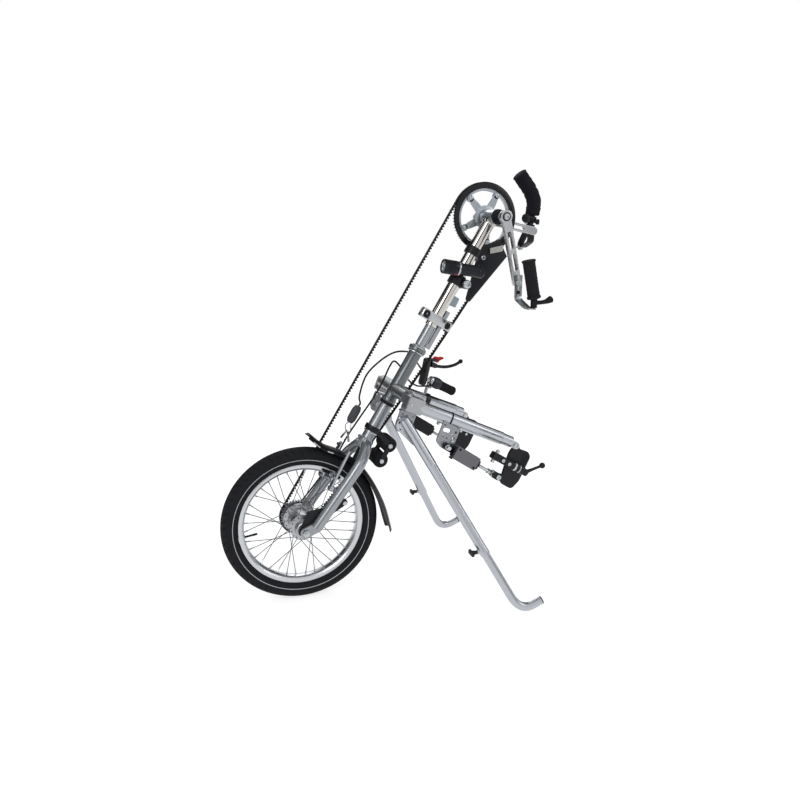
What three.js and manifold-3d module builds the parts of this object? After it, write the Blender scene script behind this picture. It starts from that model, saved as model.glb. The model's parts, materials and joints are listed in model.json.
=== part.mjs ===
// Front unit of a handcycle: a small wheel in a leaning fork, driven by hand cranks through a
// toothed belt, with two arms that dock onto a wheelchair and a two-legged folding stand.
// Lengths are millimetres and angles degrees. X points back to the rider, -Y to the rider's
// left and Z up.

import * as THREE from 'three';
import { mergeVertices } from 'three/addons/utils/BufferGeometryUtils.js';
import Module from 'manifold-3d';

const wasm = await Module();
wasm.setup();

// Shared clearances
const gap = 0.3;
const overrun = 2;

// Facets of round forms
const tubeSides = 18;
const pinSides = 12;
const smallSides = 8;
const wireSides = 6;
const ringSides = 36;
const boltSides = 6;
const sweepSteps = 6;

// Steering geometry
const wheelRadius = 200;
const forkOffset = 44.5;
const steeringTilt = 31.2;

// Tyre and rim
const wheelSegments = 40;
const groundedTurn = 3;
const tyreSection = 23.5;
const tyreWall = 3.5;
const crownHalfWidth = 5;
const rimHalfWidth = 15;
const rimFlange = 3;
const rimDepth = 15.4;
const valveRadius = 2.5;
const valveLength = 34;
const valveAngle = 215;
const sidewallShares = [1, 0.78, 0.54, 0.3];
const liningShares = [0.6, 0];
const rimShares = [[0, 0.8], [0.5, 0.75]];
const rimBackShares = [[1, 0.4], [0.55, 0.97]];

// Hub, spokes and axle
const axleRadius = 5;
const spokeRadius = 1;
const spokesPerFlange = 18;
const spokeSides = 3;
const spokeCross = 40;
const drumRadius = 30;
const dishRadius = 23;
const nearFlangeRadius = 34;
const farFlangeRadius = 40;
const flangeHalfWidth = 2;
const nearFlangePlace = 32;
const farFlangePlace = 29;
const nearDishEnd = 54;
const farDishEnd = 42;
const spacerRadius = 8;
const nutRadius = 9;
const nutWidth = 6;
const axleTip = 4;

// Fork
const lugInner = 63;
const lugThickness = 8;
const lugRadius = 13.5;
const legRadius = 14;
const legSteps = 6;
const legSides = 12;
const crownBottom = 240.5;
const crownTop = 270;
const crownRadius = 20;
const forkTubeRadius = 16.5;
const forkTubeTop = 376.5;
const steererRadius = 13;
const steererBore = 10.5;
const steererTop = 760;
const finDepth = 11;
const finWidth = 14;
const finBottom = 542;
const finTop = 650;
const legHips = [[0, 10, 256], [-2, 42, 234], [-6, 60, 203], [-16, 66.5, 124], [-28, 70.5, 22]];
const bossHeight = 125;
const bossPlace = 55;
const bossRadius = 4;
const bossReach = 33;

// Rim brake
const brakeArmWidth = 12;
const brakeArmThickness = 9;
const brakeArmHeight = 98;
const brakeArmLean = 12;
const brakePadLength = 52;
const brakePadHeight = 8;
const brakePadRise = 26;
const brakePadClearance = 0.9;
const brakeBarrelRadius = 8;
const brakeArmGap = 1.5;

// Torque arm beside the hub
const torqueArmThickness = 3;
const torqueArmWidth = 8;
const torqueArmLength = 96;
const torqueArmLean = 6;
const torqueClipWidth = 10;
const torqueClipWall = 2;

// Mudguard
const guardRadius = 210;
const guardHalfWidth = 29;
const guardDrop = 8;
const guardSheet = 2;
const guardFlare = 34;
const guardAngles = [7, 17, 30, 45, 61, 82, 101];
const guardFlareShares = [0.72, 0.06, 0, 0, 0.02, 0.32, 1];
const guardTabWidth = 14;
const guardFolds = 2;
const guardSteps = 14;

// Head tube, cross tube and end blocks
const headWall = 2;
const headBottom = 377;
const headTop = 533;
const collarRadius = 23.5;
const collarWidth = 4;
const crossAlong = 413;
const crossRadius = 17;
const armSlope = 22.33;
const blockLength = 49;
const blockHeight = 42;
const blockWidth = 38;
const blockPlace = [15, 116, -10.3];

// Docking arms
const armRadius = 16;
const armEnd = [280.5, 157, -14.7];
const armCollarLength = 28;
const armCollarRadius = 14;
const hinge = [292, 158, -18.7];
const hingePinRadius = 5;
const hingeKnuckleRadius = 9;
const cheekThickness = 4;
const hangerLength = 50;
const hangerFront = 92;
const hangerTop = -18;
const hangerBottom = -76;
const hangerInner = 140;
const hangerThickness = 4;
const linkFrontPivot = [122, -77];

// Docking clamps
const clampThickness = 8;
const clampWidth = 54;
const clampHeight = 109;
const clampShares = [[-0.08, -0.047], [0.82, -0.05], [1, -0.144], [0.915, -0.766], [0.685, -1], [0, -0.942],
  [-0.094, -0.633], [-0.157, -0.22]];
const clampSoftening = 5;
const linkRearPivot = [-13.4, -88.7];
const clampBarTilt = 9;
const clampBarLength = 67;
const clampBarHeight = 18;
const clampBarWidth = 20;
const clampBarGap = 10;
const clampBarPlace = [-64, -37];
const clampBarrelLength = 34;
const clampBarrelRadius = 10.5;
const guidePinRadius = 4;
const guidePinPlaces = [72, 92];
const clampLeverHub = 9;
const clampLeverWidth = 11;
const clampLeverReach = [30, 15, 36];
const clampLeverRod = 4;
const clampLeverBall = 7.5;

// Link between the hanger and the clamp
const linkBoxStart = 16;
const linkBoxLength = 80;
const linkBoxHeight = 34;
const linkBoxWidth = 18;
const linkWall = 4;
const linkRodRadius = 4;
const linkRodInsert = 30;
const clevisLength = 22;
const clevisSlack = 1.2;

// Stand
const standPivot = [11.4, -64.7];
const standPlateInner = 106;
const standPlateThickness = 4;
const standPlateRadius = 20;
const standPlateTop = 44;
const standPlateShoulder = 24;
const standPlateHole = [14, 10];
const standLegHole = [-11, 7];
const standHoleRadius = 4;
const standPinRadius = 5;
const legStart = [3, 120, 8];
const legBend = [248, 265];
const footTubeHeight = 13.3;
const footReach = 56;
const footBendRadius = 33;
const standTubeRadius = 12.5;
const footTubeRadius = 10.5;
const standSplitShare = 0.7;
const footInsert = 80;
const standBoreDepth = 165;
const footCapRadius = 14;
const footCapLength = 25;
const footCapFloor = 3;
const knobReach = 32;
const knobStem = 3;
const knobCollar = 4.5;
const knobWidth = 26;
const knobHeight = 12;
const knobThickness = 7;
const knobBossRadius = 6;

// Sliding column, its clamp and its fittings
const columnRadius = 16;
const columnBottom = 597;
const columnBoreTop = 860;
const shellRadius = 19;
const shellHalfWidth = 34;
const clampBlockBottom = 595;
const clampBlockTop = 640;
const clampBlockFront = 44;
const clampBlockBack = 50;
const clampBlockHalfWidth = 20;
const clampBlockNose = 12;
const clampBlockSoftening = 5;
const clampBoltRadius = 6;
const clampBoltPlace = 31;
const ringClampAlong = 812;
const ringClampHeight = 20;
const ringClampWall = 4;
const ringClampEar = 20;
const lampMountAlong = 716;
const lampMountHeight = 28;
const lampMountWall = 4;
const lampBoltRadius = 12;
const lampPlace = -31.5;
const lampStart = [366, 838];
const lampEnd = [474, 820];
const lampHeadRadius = 18;
const lampBarrelRadius = 15;
const lampHeadShare = 0.36;

// Belt guard behind the column
const beltGuardPlace = 35;
const beltGuardThickness = 3;
const beltGuardFront = 77;
const beltGuardBack = 106;
const beltGuardBottom = 706;
const beltGuardTop = 858;
const beltGuardStrapWidth = 14;
const beltGuardAngles = [-70, -62, -54, -46, -38, -30, -22];

// Crank bearing and cranks
const spindleRadius = 8;
const cartridgeWall = 7;
const cupWidth = 4;
const crankBoltRadius = 9;
const crankLength = 162;
const crankInner = 70;
const crankThickness = 13;
const crankHeadRadius = 15;
const crankWaist = [24, 11];
const crankEndRadius = 11;
const crankSlotRadius = 5;
const crankEndSteps = 7;
const crankSlotShares = [[0.25, 0.46], [0.58, 0.79]];
const leftCrankAngle = 76.9;
const rightCrankAngle = 12.1;
const spiderArms = 5;
const spiderBoltCircle = 62;
const spiderThickness = 4;
const spiderArmWidth = 13;
const spiderTurn = 60;
const spiderHubRadius = 21;
const spiderPadRadius = 9;
const spiderBoltRadius = 4;

// Handles, measured from the pivot at the crank's end
const handleStrip = 20;
const handleSheet = 3;
const handlePinRadius = 5;
const handleNutRadius = 8;
const leftHandlePath = [[-1, 18], [-1, -41], [-51, -58], [-76, -58]];
const leftGripFoot = [10, -66, -34];
const leftGripHead = [-9, -66, 57];
const leftGripRadius = 15;
const leftGripCollar = 17;
const handRest = [[10, -66, -43], [34, -66, -43], [56, -66, -37]];
const handRestRadius = 5.5;
const handRestBulb = 8;
const rightHandlePath = [[-1, 16], [-1, -28], [-40, -44], [-66, -44]];
const rightBarPoints = [[0, -60, -34], [26, -60, 16], [34, -60, 36], [40, -60, 58]];
const rightBarRadius = 9;
const rightGripPoints = [[37, -60, 44], [49, -60, 109], [31, -60, 136], [-20, -60, 152]];
const rightGripRadius = 17;

// Belt drive
const beltPitch = 8;
const beltTeeth = 280;
const pulleyTeeth = 68;
const sprocketTeeth = 36;
const beltPlane = 48;
const beltWidth = 10;
const beltBack = 1.6;
const beltWeb = 1.2;
const toothHeight = 3.2;
const toothClearance = 0.6;
const beltBowRadius = 9300;
const pulleyInner = 66;
const guardRingOuter = 86;
const guardRingInner = 72;
const guardRingThickness = 3;
const sprocketDiscThickness = 6;
const wrapStep = 8;

// Idlers behind the fork
const idlerRadius = 20;
const idlerInner = -8;
const idlerWidth = 62;
const idlerRib = 2.5;
const idlerRibs = 3;
const idlerSides = 14;
const idlerRibShares = [0.3, 0.7];
const idlerPinRadius = 4;
const idlerPlaces = [[61.5, 279], [61, 234]];
const idlerPlateThickness = 4;
const idlerCollarWall = 3.5;
const idlerCollarHeight = 16;

// Controls on the right arm
const controlPost = 137;
const controlPlace = 151;
const controlRingWall = 3;
const controlRingWidth = 12;
const leverBodyPoints = [[122, 137, 24], [118, 137, 60], [112, 137, 98]];
const leverBodyRadius = 13;
const leverBodySteps = 4;
const leverPivot = [138, 137, 86];
const leverBladePoints = [[150, 137, 87], [174, 137, 94], [196, 137, 108], [208, 137, 122]];
const leverBladeRadius = 4;
const leverBallRadius = 6.5;
const leverHubRadius = 7;
const lockPlace = [136, 102];
const lockPoints = [[-9, 6], [0, 8], [14, 11], [19, 8], [12, 0], [6, -6], [-6, -6], [-9, -2]];
const lockPinRadius = 2;
const postWidth = 10;
const lockThickness = 8;
const shifterStart = [150, 42];
const shifterEnd = [224, 35];
const shifterPlace = 137;
const shifterRadius = 13;
const shifterCollarRadius = 16;
const shifterBoreDepth = 22;

// Cables, with routes chosen by hand from the foot of the steering axis
const cableRadius = 2.4;
const brakeCableSteps = 18;
const shiftCableSteps = 26;
const junctionRadius = 12;
const junctionHalfLength = 24;
const junctionNeckRadius = 8.5;
const junctionTaper = 12;
const junctionPlace = [-63, 0, 308];
const junctionWireRadius = 1.2;
const brakeCablePoints = [[-74, 4, 336], [-82.6, 4, 354.7], [-83, 6, 409], [-66.6, 14, 457.6], [-41.7, 26, 491.9],
  [-12, 40, 509], [18, 62, 514], [52, 90, 502], [84, 112, 492]];
const shiftCablePoints = [[-66, 77, 30], [-44, 80, 113.3], [-36, 80, 180], [-30, 66, 243.2], [-30, 40, 304.5],
  [-27, 32, 368.6], [-27, 32, 414.6], [-29, 36, 455], [-22, 44, 474], [8.6, 58, 468.1],
  [50.3, 80, 449.8], [90, 104, 441]];
const noodlePoints = [[-50, 34, 240], [-52, 22, 253], [-57, 0, 258], [-55, -22, 250]];
const junctionWirePoints = [[-63, 0, 288], [-68, 0, 272], [-57, 0, 258]];

const finishes = {
  frameGrey: { color: 0x6e7275, roughness: 0.38, metalness: 0.85 },
  forkGrey: { color: 0x7b8084, roughness: 0.34, metalness: 0.85 },
  brightMetal: { color: 0xc9cbcf, roughness: 0.28, metalness: 0.95 },
  satinMetal: { color: 0xb4b7bb, roughness: 0.42, metalness: 0.9 },
  chrome: { color: 0xd8d6d2, roughness: 0.12, metalness: 1 },
  zinc: { color: 0xbfc4c6, roughness: 0.35, metalness: 0.9 },
  linkGrey: { color: 0x6f6f70, roughness: 0.5, metalness: 0.6 },
  blackPaint: { color: 0x1c1c20, roughness: 0.5, metalness: 0.2 },
  blackPlastic: { color: 0x202126, roughness: 0.55, metalness: 0 },
  greyPlastic: { color: 0x6a6b70, roughness: 0.45, metalness: 0.1 },
  blackRubber: { color: 0x17171b, roughness: 0.85, metalness: 0 },
  tyreRubber: { color: 0x1b1c20, roughness: 0.9, metalness: 0 },
  redPlastic: { color: 0xd5202c, roughness: 0.4, metalness: 0 },
  foam: { color: 0x202025, roughness: 0.95, metalness: 0 },
};

const xAxis = new THREE.Vector3(1, 0, 0);
const yAxis = new THREE.Vector3(0, 1, 0);
const zAxis = new THREE.Vector3(0, 0, 1);
const sides = [[-1, 'left'], [1, 'right']];

// Small helpers

function place(x, y, z) {
  return new THREE.Vector3(x, y, z);
}

function radians(degrees) {
  return THREE.MathUtils.degToRad(degrees);
}

// A closed geometry as a solid that can be joined and cut
function toSolid(geometry) {
  const bare = geometry.index ? geometry.toNonIndexed() : geometry.clone();
  bare.deleteAttribute('normal');
  bare.deleteAttribute('uv');
  const merged = mergeVertices(bare);
  const positions = merged.getAttribute('position');
  const corners = merged.index.array;
  const triangles = [];
  const [a, b, c] = [new THREE.Vector3(), new THREE.Vector3(), new THREE.Vector3()];
  let volume = 0;
  for (let i = 0; i < corners.length; i += 3) {
    const [p, q, r] = [corners[i], corners[i + 1], corners[i + 2]];
    if (p === q || q === r || r === p) continue;
    triangles.push([p, q, r]);
    a.fromBufferAttribute(positions, p);
    b.fromBufferAttribute(positions, q);
    c.fromBufferAttribute(positions, r);
    volume += a.dot(b.cross(c));
  }
  if (volume < 0) triangles.forEach((triangle) => triangle.reverse());
  const vertProperties = new Float32Array(positions.array);
  const triVerts = new Uint32Array(triangles.flat());
  return new wasm.Manifold(new wasm.Mesh({ numProp: 3, vertProperties, triVerts }));
}

function asSolid(form) {
  return form.isBufferGeometry ? toSolid(form) : form;
}

function join(...forms) {
  return forms.flat().map(asSolid).reduce((whole, piece) => whole.add(piece));
}

function cut(form, ...tools) {
  return tools.flat().map(asSolid).reduce((whole, tool) => whole.subtract(tool), asSolid(form));
}

function toGeometry(solid) {
  const mesh = solid.getMesh();
  const geometry = new THREE.BufferGeometry();
  geometry.setAttribute('position', new THREE.BufferAttribute(new Float32Array(mesh.vertProperties), 3));
  geometry.setIndex(new THREE.BufferAttribute(new Uint32Array(mesh.triVerts), 1));
  geometry.computeVertexNormals();
  return geometry;
}

function add(group, name, form, finish) {
  const mesh = new THREE.Mesh(toGeometry(asSolid(form)), new THREE.MeshStandardMaterial(finish));
  mesh.name = name;
  group.add(mesh);
}

// A group whose origin is where its pieces turn or slide
function pivot(parent, name, position, turn = 0) {
  const group = new THREE.Group();
  group.name = name;
  group.position.copy(position);
  group.rotation.y = radians(turn);
  parent.add(group);
  return group;
}

function sided(geometry, side) {
  return side < 0 ? geometry.clone().scale(1, side, 1) : geometry;
}

function box(from, to) {
  const size = to.clone().sub(from);
  const middle = from.clone().lerp(to, 0.5);
  return new THREE.BoxGeometry(size.x, size.y, size.z).translate(middle.x, middle.y, middle.z);
}

// A profile of radius and distance along an axis, turned round that axis
function turned(profile, segments, foot = place(0, 0, 0), direction = yAxis) {
  const points = profile.map(([radius, along]) => new THREE.Vector2(radius, along));
  if (profile[0][0] > 0) points.push(points[0].clone());
  const geometry = new THREE.LatheGeometry(points, segments);
  const turn = new THREE.Quaternion().setFromUnitVectors(yAxis, direction.clone().normalize());
  return geometry.applyQuaternion(turn).translate(foot.x, foot.y, foot.z);
}

function rod(from, to, radius, segments = pinSides) {
  const span = to.clone().sub(from);
  return turned([[0, 0], [radius, 0], [radius, span.length()], [0, span.length()]], segments, from, span);
}

function pipe(from, to, outer, inner, segments = tubeSides) {
  const span = to.clone().sub(from);
  const length = span.length();
  return turned([[inner, 0], [outer, 0], [outer, length], [inner, length]], segments, from, span);
}

function ball(centre, radius, segments = smallSides) {
  return new THREE.SphereGeometry(radius, segments, segments / 2).translate(centre.x, centre.y, centre.z);
}

function disc(x, z, radius, segments = pinSides) {
  const points = [];
  for (let i = 0; i < segments; i += 1) {
    const angle = radians(360 * i / segments);
    points.push([x + radius * Math.cos(angle), z + radius * Math.sin(angle)]);
  }
  return points;
}

// The outline of a bar with round ends between two points
function slot(from, to, radius, otherRadius = radius, segments = 4) {
  const heading = Math.atan2(to[1] - from[1], to[0] - from[0]);
  const points = [];
  for (let i = 0; i <= segments; i += 1) {
    const angle = heading + radians(90 + 180 * i / segments);
    points.push([from[0] + radius * Math.cos(angle), from[1] + radius * Math.sin(angle)]);
  }
  for (let i = 0; i <= segments; i += 1) {
    const angle = heading + radians(270 + 180 * i / segments);
    points.push([to[0] + otherRadius * Math.cos(angle), to[1] + otherRadius * Math.sin(angle)]);
  }
  return points;
}

// An outline with its corners rounded
function softened(outline, radius, segments = 2) {
  const points = [];
  const corners = outline.map(([x, z]) => new THREE.Vector2(x, z));
  corners.forEach((corner, i) => {
    const before = corners[(i + corners.length - 1) % corners.length];
    const after = corners[(i + 1) % corners.length];
    const reach = Math.min(radius, before.distanceTo(corner) / 2, after.distanceTo(corner) / 2);
    const start = corner.clone().add(before.clone().sub(corner).setLength(reach));
    const end = corner.clone().add(after.clone().sub(corner).setLength(reach));
    const curve = new THREE.QuadraticBezierCurve(start, corner, end);
    points.push(...curve.getPoints(segments).map((point) => [point.x, point.y]));
  });
  return points;
}

// The outline of a sheet of even thickness bent along a line
function strip(line, thickness) {
  const points = line.map(([u, v]) => new THREE.Vector2(u, v));
  const offsets = points.map((point, i) => {
    const before = points[Math.max(i - 1, 0)];
    const after = points[Math.min(i + 1, points.length - 1)];
    const into = i > 0 ? point.clone().sub(before).normalize() : after.clone().sub(point).normalize();
    const out = i < points.length - 1 ? after.clone().sub(point).normalize() : into;
    const bisector = into.clone().add(out).normalize();
    const normal = new THREE.Vector2(-bisector.y, bisector.x);
    return normal.multiplyScalar(thickness / 2 / bisector.dot(into));
  });
  const upper = points.map((point, i) => [point.x + offsets[i].x, point.y + offsets[i].y]);
  const lower = points.map((point, i) => [point.x - offsets[i].x, point.y - offsets[i].y]);
  return [...upper, ...lower.reverse()];
}

function extruded(outline, depth, holes) {
  const points = outline.map(([u, v]) => new THREE.Vector2(u, v));
  if (THREE.ShapeUtils.isClockWise(points)) points.reverse();
  const shape = new THREE.Shape(points);
  for (const hole of holes) {
    shape.holes.push(new THREE.Path(hole.map(([u, v]) => new THREE.Vector2(u, v))));
  }
  return new THREE.ExtrudeGeometry(shape, { depth, bevelEnabled: false });
}

// Sheets cut to an outline: upright along the travel, level, and upright across the travel
function sheetXZ(outline, y, thickness, holes = []) {
  const turn = new THREE.Matrix4().makeBasis(xAxis, zAxis, yAxis.clone().negate());
  return extruded(outline, thickness, holes).applyMatrix4(turn).translate(0, y + thickness, 0);
}

function sheetXY(outline, z, thickness, holes = []) {
  return extruded(outline, thickness, holes).translate(0, 0, z);
}

function sheetYZ(outline, x, thickness, holes = []) {
  const turn = new THREE.Matrix4().makeBasis(yAxis, zAxis, xAxis);
  return extruded(outline, thickness, holes).applyMatrix4(turn).translate(x, 0, 0);
}

// A path through listed points, with one ring of a sweep at each of them
class Route extends THREE.Curve {
  constructor(points) {
    super();
    this.points = points;
  }

  getPoint(share, target = new THREE.Vector3()) {
    const stage = share * (this.points.length - 1);
    const index = Math.min(Math.floor(stage + 1e-6), this.points.length - 2);
    return target.lerpVectors(this.points[index], this.points[index + 1], stage - index);
  }

  getPointAt(share, target) {
    return this.getPoint(share, target);
  }

  getTangentAt(share, target = new THREE.Vector3()) {
    const index = Math.round(share * (this.points.length - 1));
    const here = this.points[index];
    const before = this.points[Math.max(index - 1, 0)];
    const after = this.points[Math.min(index + 1, this.points.length - 1)];
    const into = here.clone().sub(before).normalize();
    const out = after.clone().sub(here).normalize();
    return target.copy(into).add(out).normalize();
  }
}

function sweepOutline(points, outline) {
  const shape = new THREE.Shape(outline.map(([u, v]) => new THREE.Vector2(u, v)));
  return new THREE.ExtrudeGeometry(shape, { steps: points.length - 1, extrudePath: new Route(points) });
}

function sweep(points, radius, segments = pinSides) {
  return sweepOutline(points, disc(0, 0, radius, segments));
}

// Points of a smooth line through a few places
function smooth(points, steps) {
  const curve = new THREE.CatmullRomCurve3(points.map((point) => place(...point)), false, 'centripetal');
  return curve.getPoints(steps);
}

// Points of a line with one rounded corner
function cornered(start, corner, end, radius, steps = 6) {
  const before = corner.clone().add(start.clone().sub(corner).setLength(radius));
  const after = corner.clone().add(end.clone().sub(corner).setLength(radius));
  const bend = new THREE.QuadraticBezierCurve3(before, corner, after).getPoints(steps);
  return [start, ...bend, end];
}

// Frames that the pieces are built in
const tilt = radians(steeringTilt);
const steeringFoot = place(forkOffset * Math.cos(tilt), 0, wheelRadius - forkOffset * Math.sin(tilt));

function fromSteering(geometry) {
  return geometry.applyQuaternion(new THREE.Quaternion().setFromAxisAngle(yAxis, tilt))
    .translate(steeringFoot.x, steeringFoot.y, steeringFoot.z);
}

const crossCentre = place(0, 0, crossAlong).applyAxisAngle(yAxis, tilt).add(steeringFoot);
const slope = radians(armSlope);

function fromArms(point) {
  return point.clone().applyAxisAngle(yAxis, slope).add(crossCentre);
}

// Belt path, in the plane of the belt with the steering axis upright
const pulleyPitchRadius = pulleyTeeth * beltPitch / (2 * Math.PI);
const sprocketPitchRadius = sprocketTeeth * beltPitch / (2 * Math.PI);
const axlePoint = new THREE.Vector2(-forkOffset, 0);

function turnBetween(from, to) {
  const full = 2 * Math.PI;
  return ((from - to) % full + full) % full;
}

function arcFrom(centre, radius, from, to) {
  return { centre, radius, from, turn: turnBetween(from, to) };
}

function beltPath(crankAlong) {
  const crankPoint = new THREE.Vector2(0, crankAlong);
  const span = crankPoint.clone().sub(axlePoint);
  const distance = span.length();
  const drop = pulleyPitchRadius - sprocketPitchRadius;
  const frontNormal = span.angle() + Math.acos(-drop / distance);
  const toCrank = beltBowRadius - pulleyPitchRadius;
  const toAxle = beltBowRadius - sprocketPitchRadius;
  const along = (toAxle * toAxle - toCrank * toCrank + distance * distance) / (2 * distance);
  const aside = Math.sqrt(toAxle * toAxle - along * along);
  const unit = span.clone().normalize();
  const bowCentre = axlePoint.clone().addScaledVector(unit, along)
    .addScaledVector(new THREE.Vector2(-unit.y, unit.x), aside);
  const crankNormal = crankPoint.clone().sub(bowCentre).angle();
  const axleNormal = axlePoint.clone().sub(bowCentre).angle();
  const straight = Math.sqrt(distance * distance - drop * drop);
  const arcs = [
    arcFrom(crankPoint, pulleyPitchRadius, frontNormal, crankNormal),
    arcFrom(bowCentre, beltBowRadius, crankNormal, axleNormal),
    arcFrom(axlePoint, sprocketPitchRadius, axleNormal, frontNormal),
  ];
  const length = arcs.reduce((sum, arc) => sum + arc.radius * arc.turn, straight);
  return { arcs, straight, frontNormal, length };
}

// The crank sits where the belt's tooth count closes the loop
function solveCrankAlong() {
  const wanted = beltTeeth * beltPitch;
  let low = wanted / 4;
  let high = wanted / 2;
  for (let i = 0; i < 60; i += 1) {
    const middle = (low + high) / 2;
    if (beltPath(middle).length > wanted) high = middle;
    else low = middle;
  }
  return low;
}

const crankAlong = solveCrankAlong();
const path = beltPath(crankAlong);

// Point on the belt's pitch line at a distance along it, moved inward by a depth
function beltPoint(distance, depth) {
  const heading = new THREE.Vector2(Math.cos(path.frontNormal), Math.sin(path.frontNormal));
  let left = ((distance % path.length) + path.length) % path.length;
  if (left < path.straight) {
    const along = new THREE.Vector2(heading.y, -heading.x);
    const point = axlePoint.clone().addScaledVector(heading, sprocketPitchRadius - depth);
    point.addScaledVector(along, left);
    return [point.x, point.y];
  }
  left -= path.straight;
  for (const arc of path.arcs) {
    const length = arc.radius * arc.turn;
    if (left <= length || arc === path.arcs[2]) {
      const angle = arc.from - left / arc.radius;
      const reach = arc.radius - depth;
      return [arc.centre.x + reach * Math.cos(angle), arc.centre.y + reach * Math.sin(angle)];
    }
    left -= length;
  }
  return null;
}

function beltBody() {
  const inner = [];
  for (let tooth = 0; tooth < beltTeeth; tooth += 1) {
    const middle = tooth * beltPitch;
    inner.push(beltPoint(middle, beltWeb + toothHeight));
    inner.push(beltPoint(middle + beltPitch / 2, beltWeb));
  }
  const outer = [beltPoint(0, -beltBack), beltPoint(path.straight, -beltBack)];
  let start = path.straight;
  for (const arc of path.arcs) {
    const steps = Math.max(Math.ceil(THREE.MathUtils.radToDeg(arc.turn) / wrapStep), smallSides);
    const length = arc.radius * arc.turn;
    const last = arc === path.arcs[2] ? steps - 1 : steps;
    for (let i = 1; i <= last; i += 1) outer.push(beltPoint(start + length * i / steps, -beltBack));
    start += length;
  }
  return sheetXZ(outer, beltPlane - beltWidth / 2, beltWidth, [inner]);
}

// Toothed outline of a wheel that the belt runs on, in step with the belt's teeth
function toothedOutline(pitchRadius, teeth, phase) {
  const top = pitchRadius - beltWeb - toothClearance;
  const root = pitchRadius - beltWeb - toothHeight - toothClearance;
  const points = [];
  for (let tooth = 0; tooth < teeth; tooth += 1) {
    const middle = phase + 2 * Math.PI * tooth / teeth;
    for (const [shift, radius] of [[0, root], [beltPitch / 2, top]]) {
      const angle = middle + shift / pitchRadius;
      points.push([radius * Math.cos(angle), radius * Math.sin(angle)]);
    }
  }
  return points;
}

function wrapPhase(arc, startDistance) {
  const tooth = Math.ceil(startDistance / beltPitch) * beltPitch;
  return arc.from - (tooth - startDistance) / arc.radius;
}

const pulleyPhase = wrapPhase(path.arcs[0], path.straight);
const [crankWrap, rearBow] = path.arcs;
const sprocketStart = path.straight + crankWrap.radius * crankWrap.turn + rearBow.radius * rearBow.turn;
const sprocketPhase = wrapPhase(path.arcs[2], sprocketStart);

// Wheel

function tyre() {
  const centre = wheelRadius - tyreSection;
  const beadAngle = Math.PI - Math.asin(rimHalfWidth / tyreSection);
  const lining = tyreSection - tyreWall;
  const liningAngle = Math.PI - Math.asin((rimHalfWidth - rimFlange) / lining);
  const beadRadius = centre + tyreSection * Math.cos(beadAngle);
  const outside = sidewallShares.map((share) => {
    const angle = share * beadAngle;
    return [centre + tyreSection * Math.cos(angle), tyreSection * Math.sin(angle)];
  });
  outside.push([wheelRadius, crownHalfWidth]);
  const inside = liningShares.map((share) => {
    const angle = share * liningAngle;
    return [centre + lining * Math.cos(angle), lining * Math.sin(angle)];
  });
  const foot = [beadRadius, rimHalfWidth - rimFlange];
  const half = [foot, ...outside];
  const mirror = (points) => points.map(([radius, along]) => [radius, -along]).reverse();
  return turned([...half, ...mirror(half), ...mirror(inside), ...inside.slice(0, -1).reverse()], wheelSegments);
}

const rimTop = wheelRadius - tyreSection - Math.sqrt(tyreSection ** 2 - rimHalfWidth ** 2) - gap;
const rimBottom = rimTop - rimDepth;

function rim() {
  const at = ([depth, width]) => [rimTop - depth * rimDepth, width * rimHalfWidth];
  const mirror = (points) => points.map(([radius, along]) => [radius, -along]).reverse();
  const channel = rimShares.map(at);
  const back = rimBackShares.map(at);
  const edge = [[rimTop, rimHalfWidth]];
  const half = [...channel.reverse(), ...edge, ...back.reverse()];
  const ring = turned([...half, ...mirror(half)], wheelSegments);
  const outward = place(Math.cos(radians(valveAngle)), 0, Math.sin(radians(valveAngle)));
  const valve = rod(outward.clone().multiplyScalar(rimBottom + valveRadius),
    outward.clone().multiplyScalar(rimBottom - valveLength), valveRadius, smallSides);
  return join(ring, valve);
}

function hub() {
  const bore = axleRadius + gap;
  const shell = turned([
    [bore, -nearDishEnd], [dishRadius - axleTip, -nearDishEnd], [dishRadius, axleTip - nearDishEnd],
    [dishRadius, -nearFlangePlace - flangeHalfWidth], [nearFlangeRadius, -nearFlangePlace - flangeHalfWidth],
    [nearFlangeRadius, flangeHalfWidth - nearFlangePlace], [drumRadius, flangeHalfWidth - nearFlangePlace],
    [drumRadius, farFlangePlace - flangeHalfWidth], [farFlangeRadius, farFlangePlace - flangeHalfWidth],
    [farFlangeRadius, farFlangePlace + flangeHalfWidth], [drumRadius, farFlangePlace + flangeHalfWidth],
    [dishRadius, farDishEnd], [bore, farDishEnd],
  ], tubeSides);
  const reach = rimBottom * Math.cos(Math.PI / wheelSegments) - gap - spokeRadius / 2;
  const forms = [shell];
  for (const [flangePlace, flangeRadius, side] of [[nearFlangePlace, nearFlangeRadius, -1],
    [farFlangePlace, farFlangeRadius, 1]]) {
    for (let i = 0; i < spokesPerFlange; i += 1) {
      const rimAngle = radians(360 * (i + (side > 0 ? 0.5 : 0)) / spokesPerFlange);
      const hubAngle = rimAngle + radians(i % 2 ? spokeCross : -spokeCross);
      const hole = flangeRadius - 2 * flangeHalfWidth;
      const lace = i % 2 ? flangeHalfWidth : -flangeHalfWidth;
      const from = place(hole * Math.cos(hubAngle), side * flangePlace + lace, hole * Math.sin(hubAngle));
      const to = place(reach * Math.cos(rimAngle), side * flangeHalfWidth, reach * Math.sin(rimAngle));
      forms.push(rod(from, to, spokeRadius, spokeSides));
    }
  }
  return join(forms);
}

const lugOuter = lugInner + lugThickness;

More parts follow.
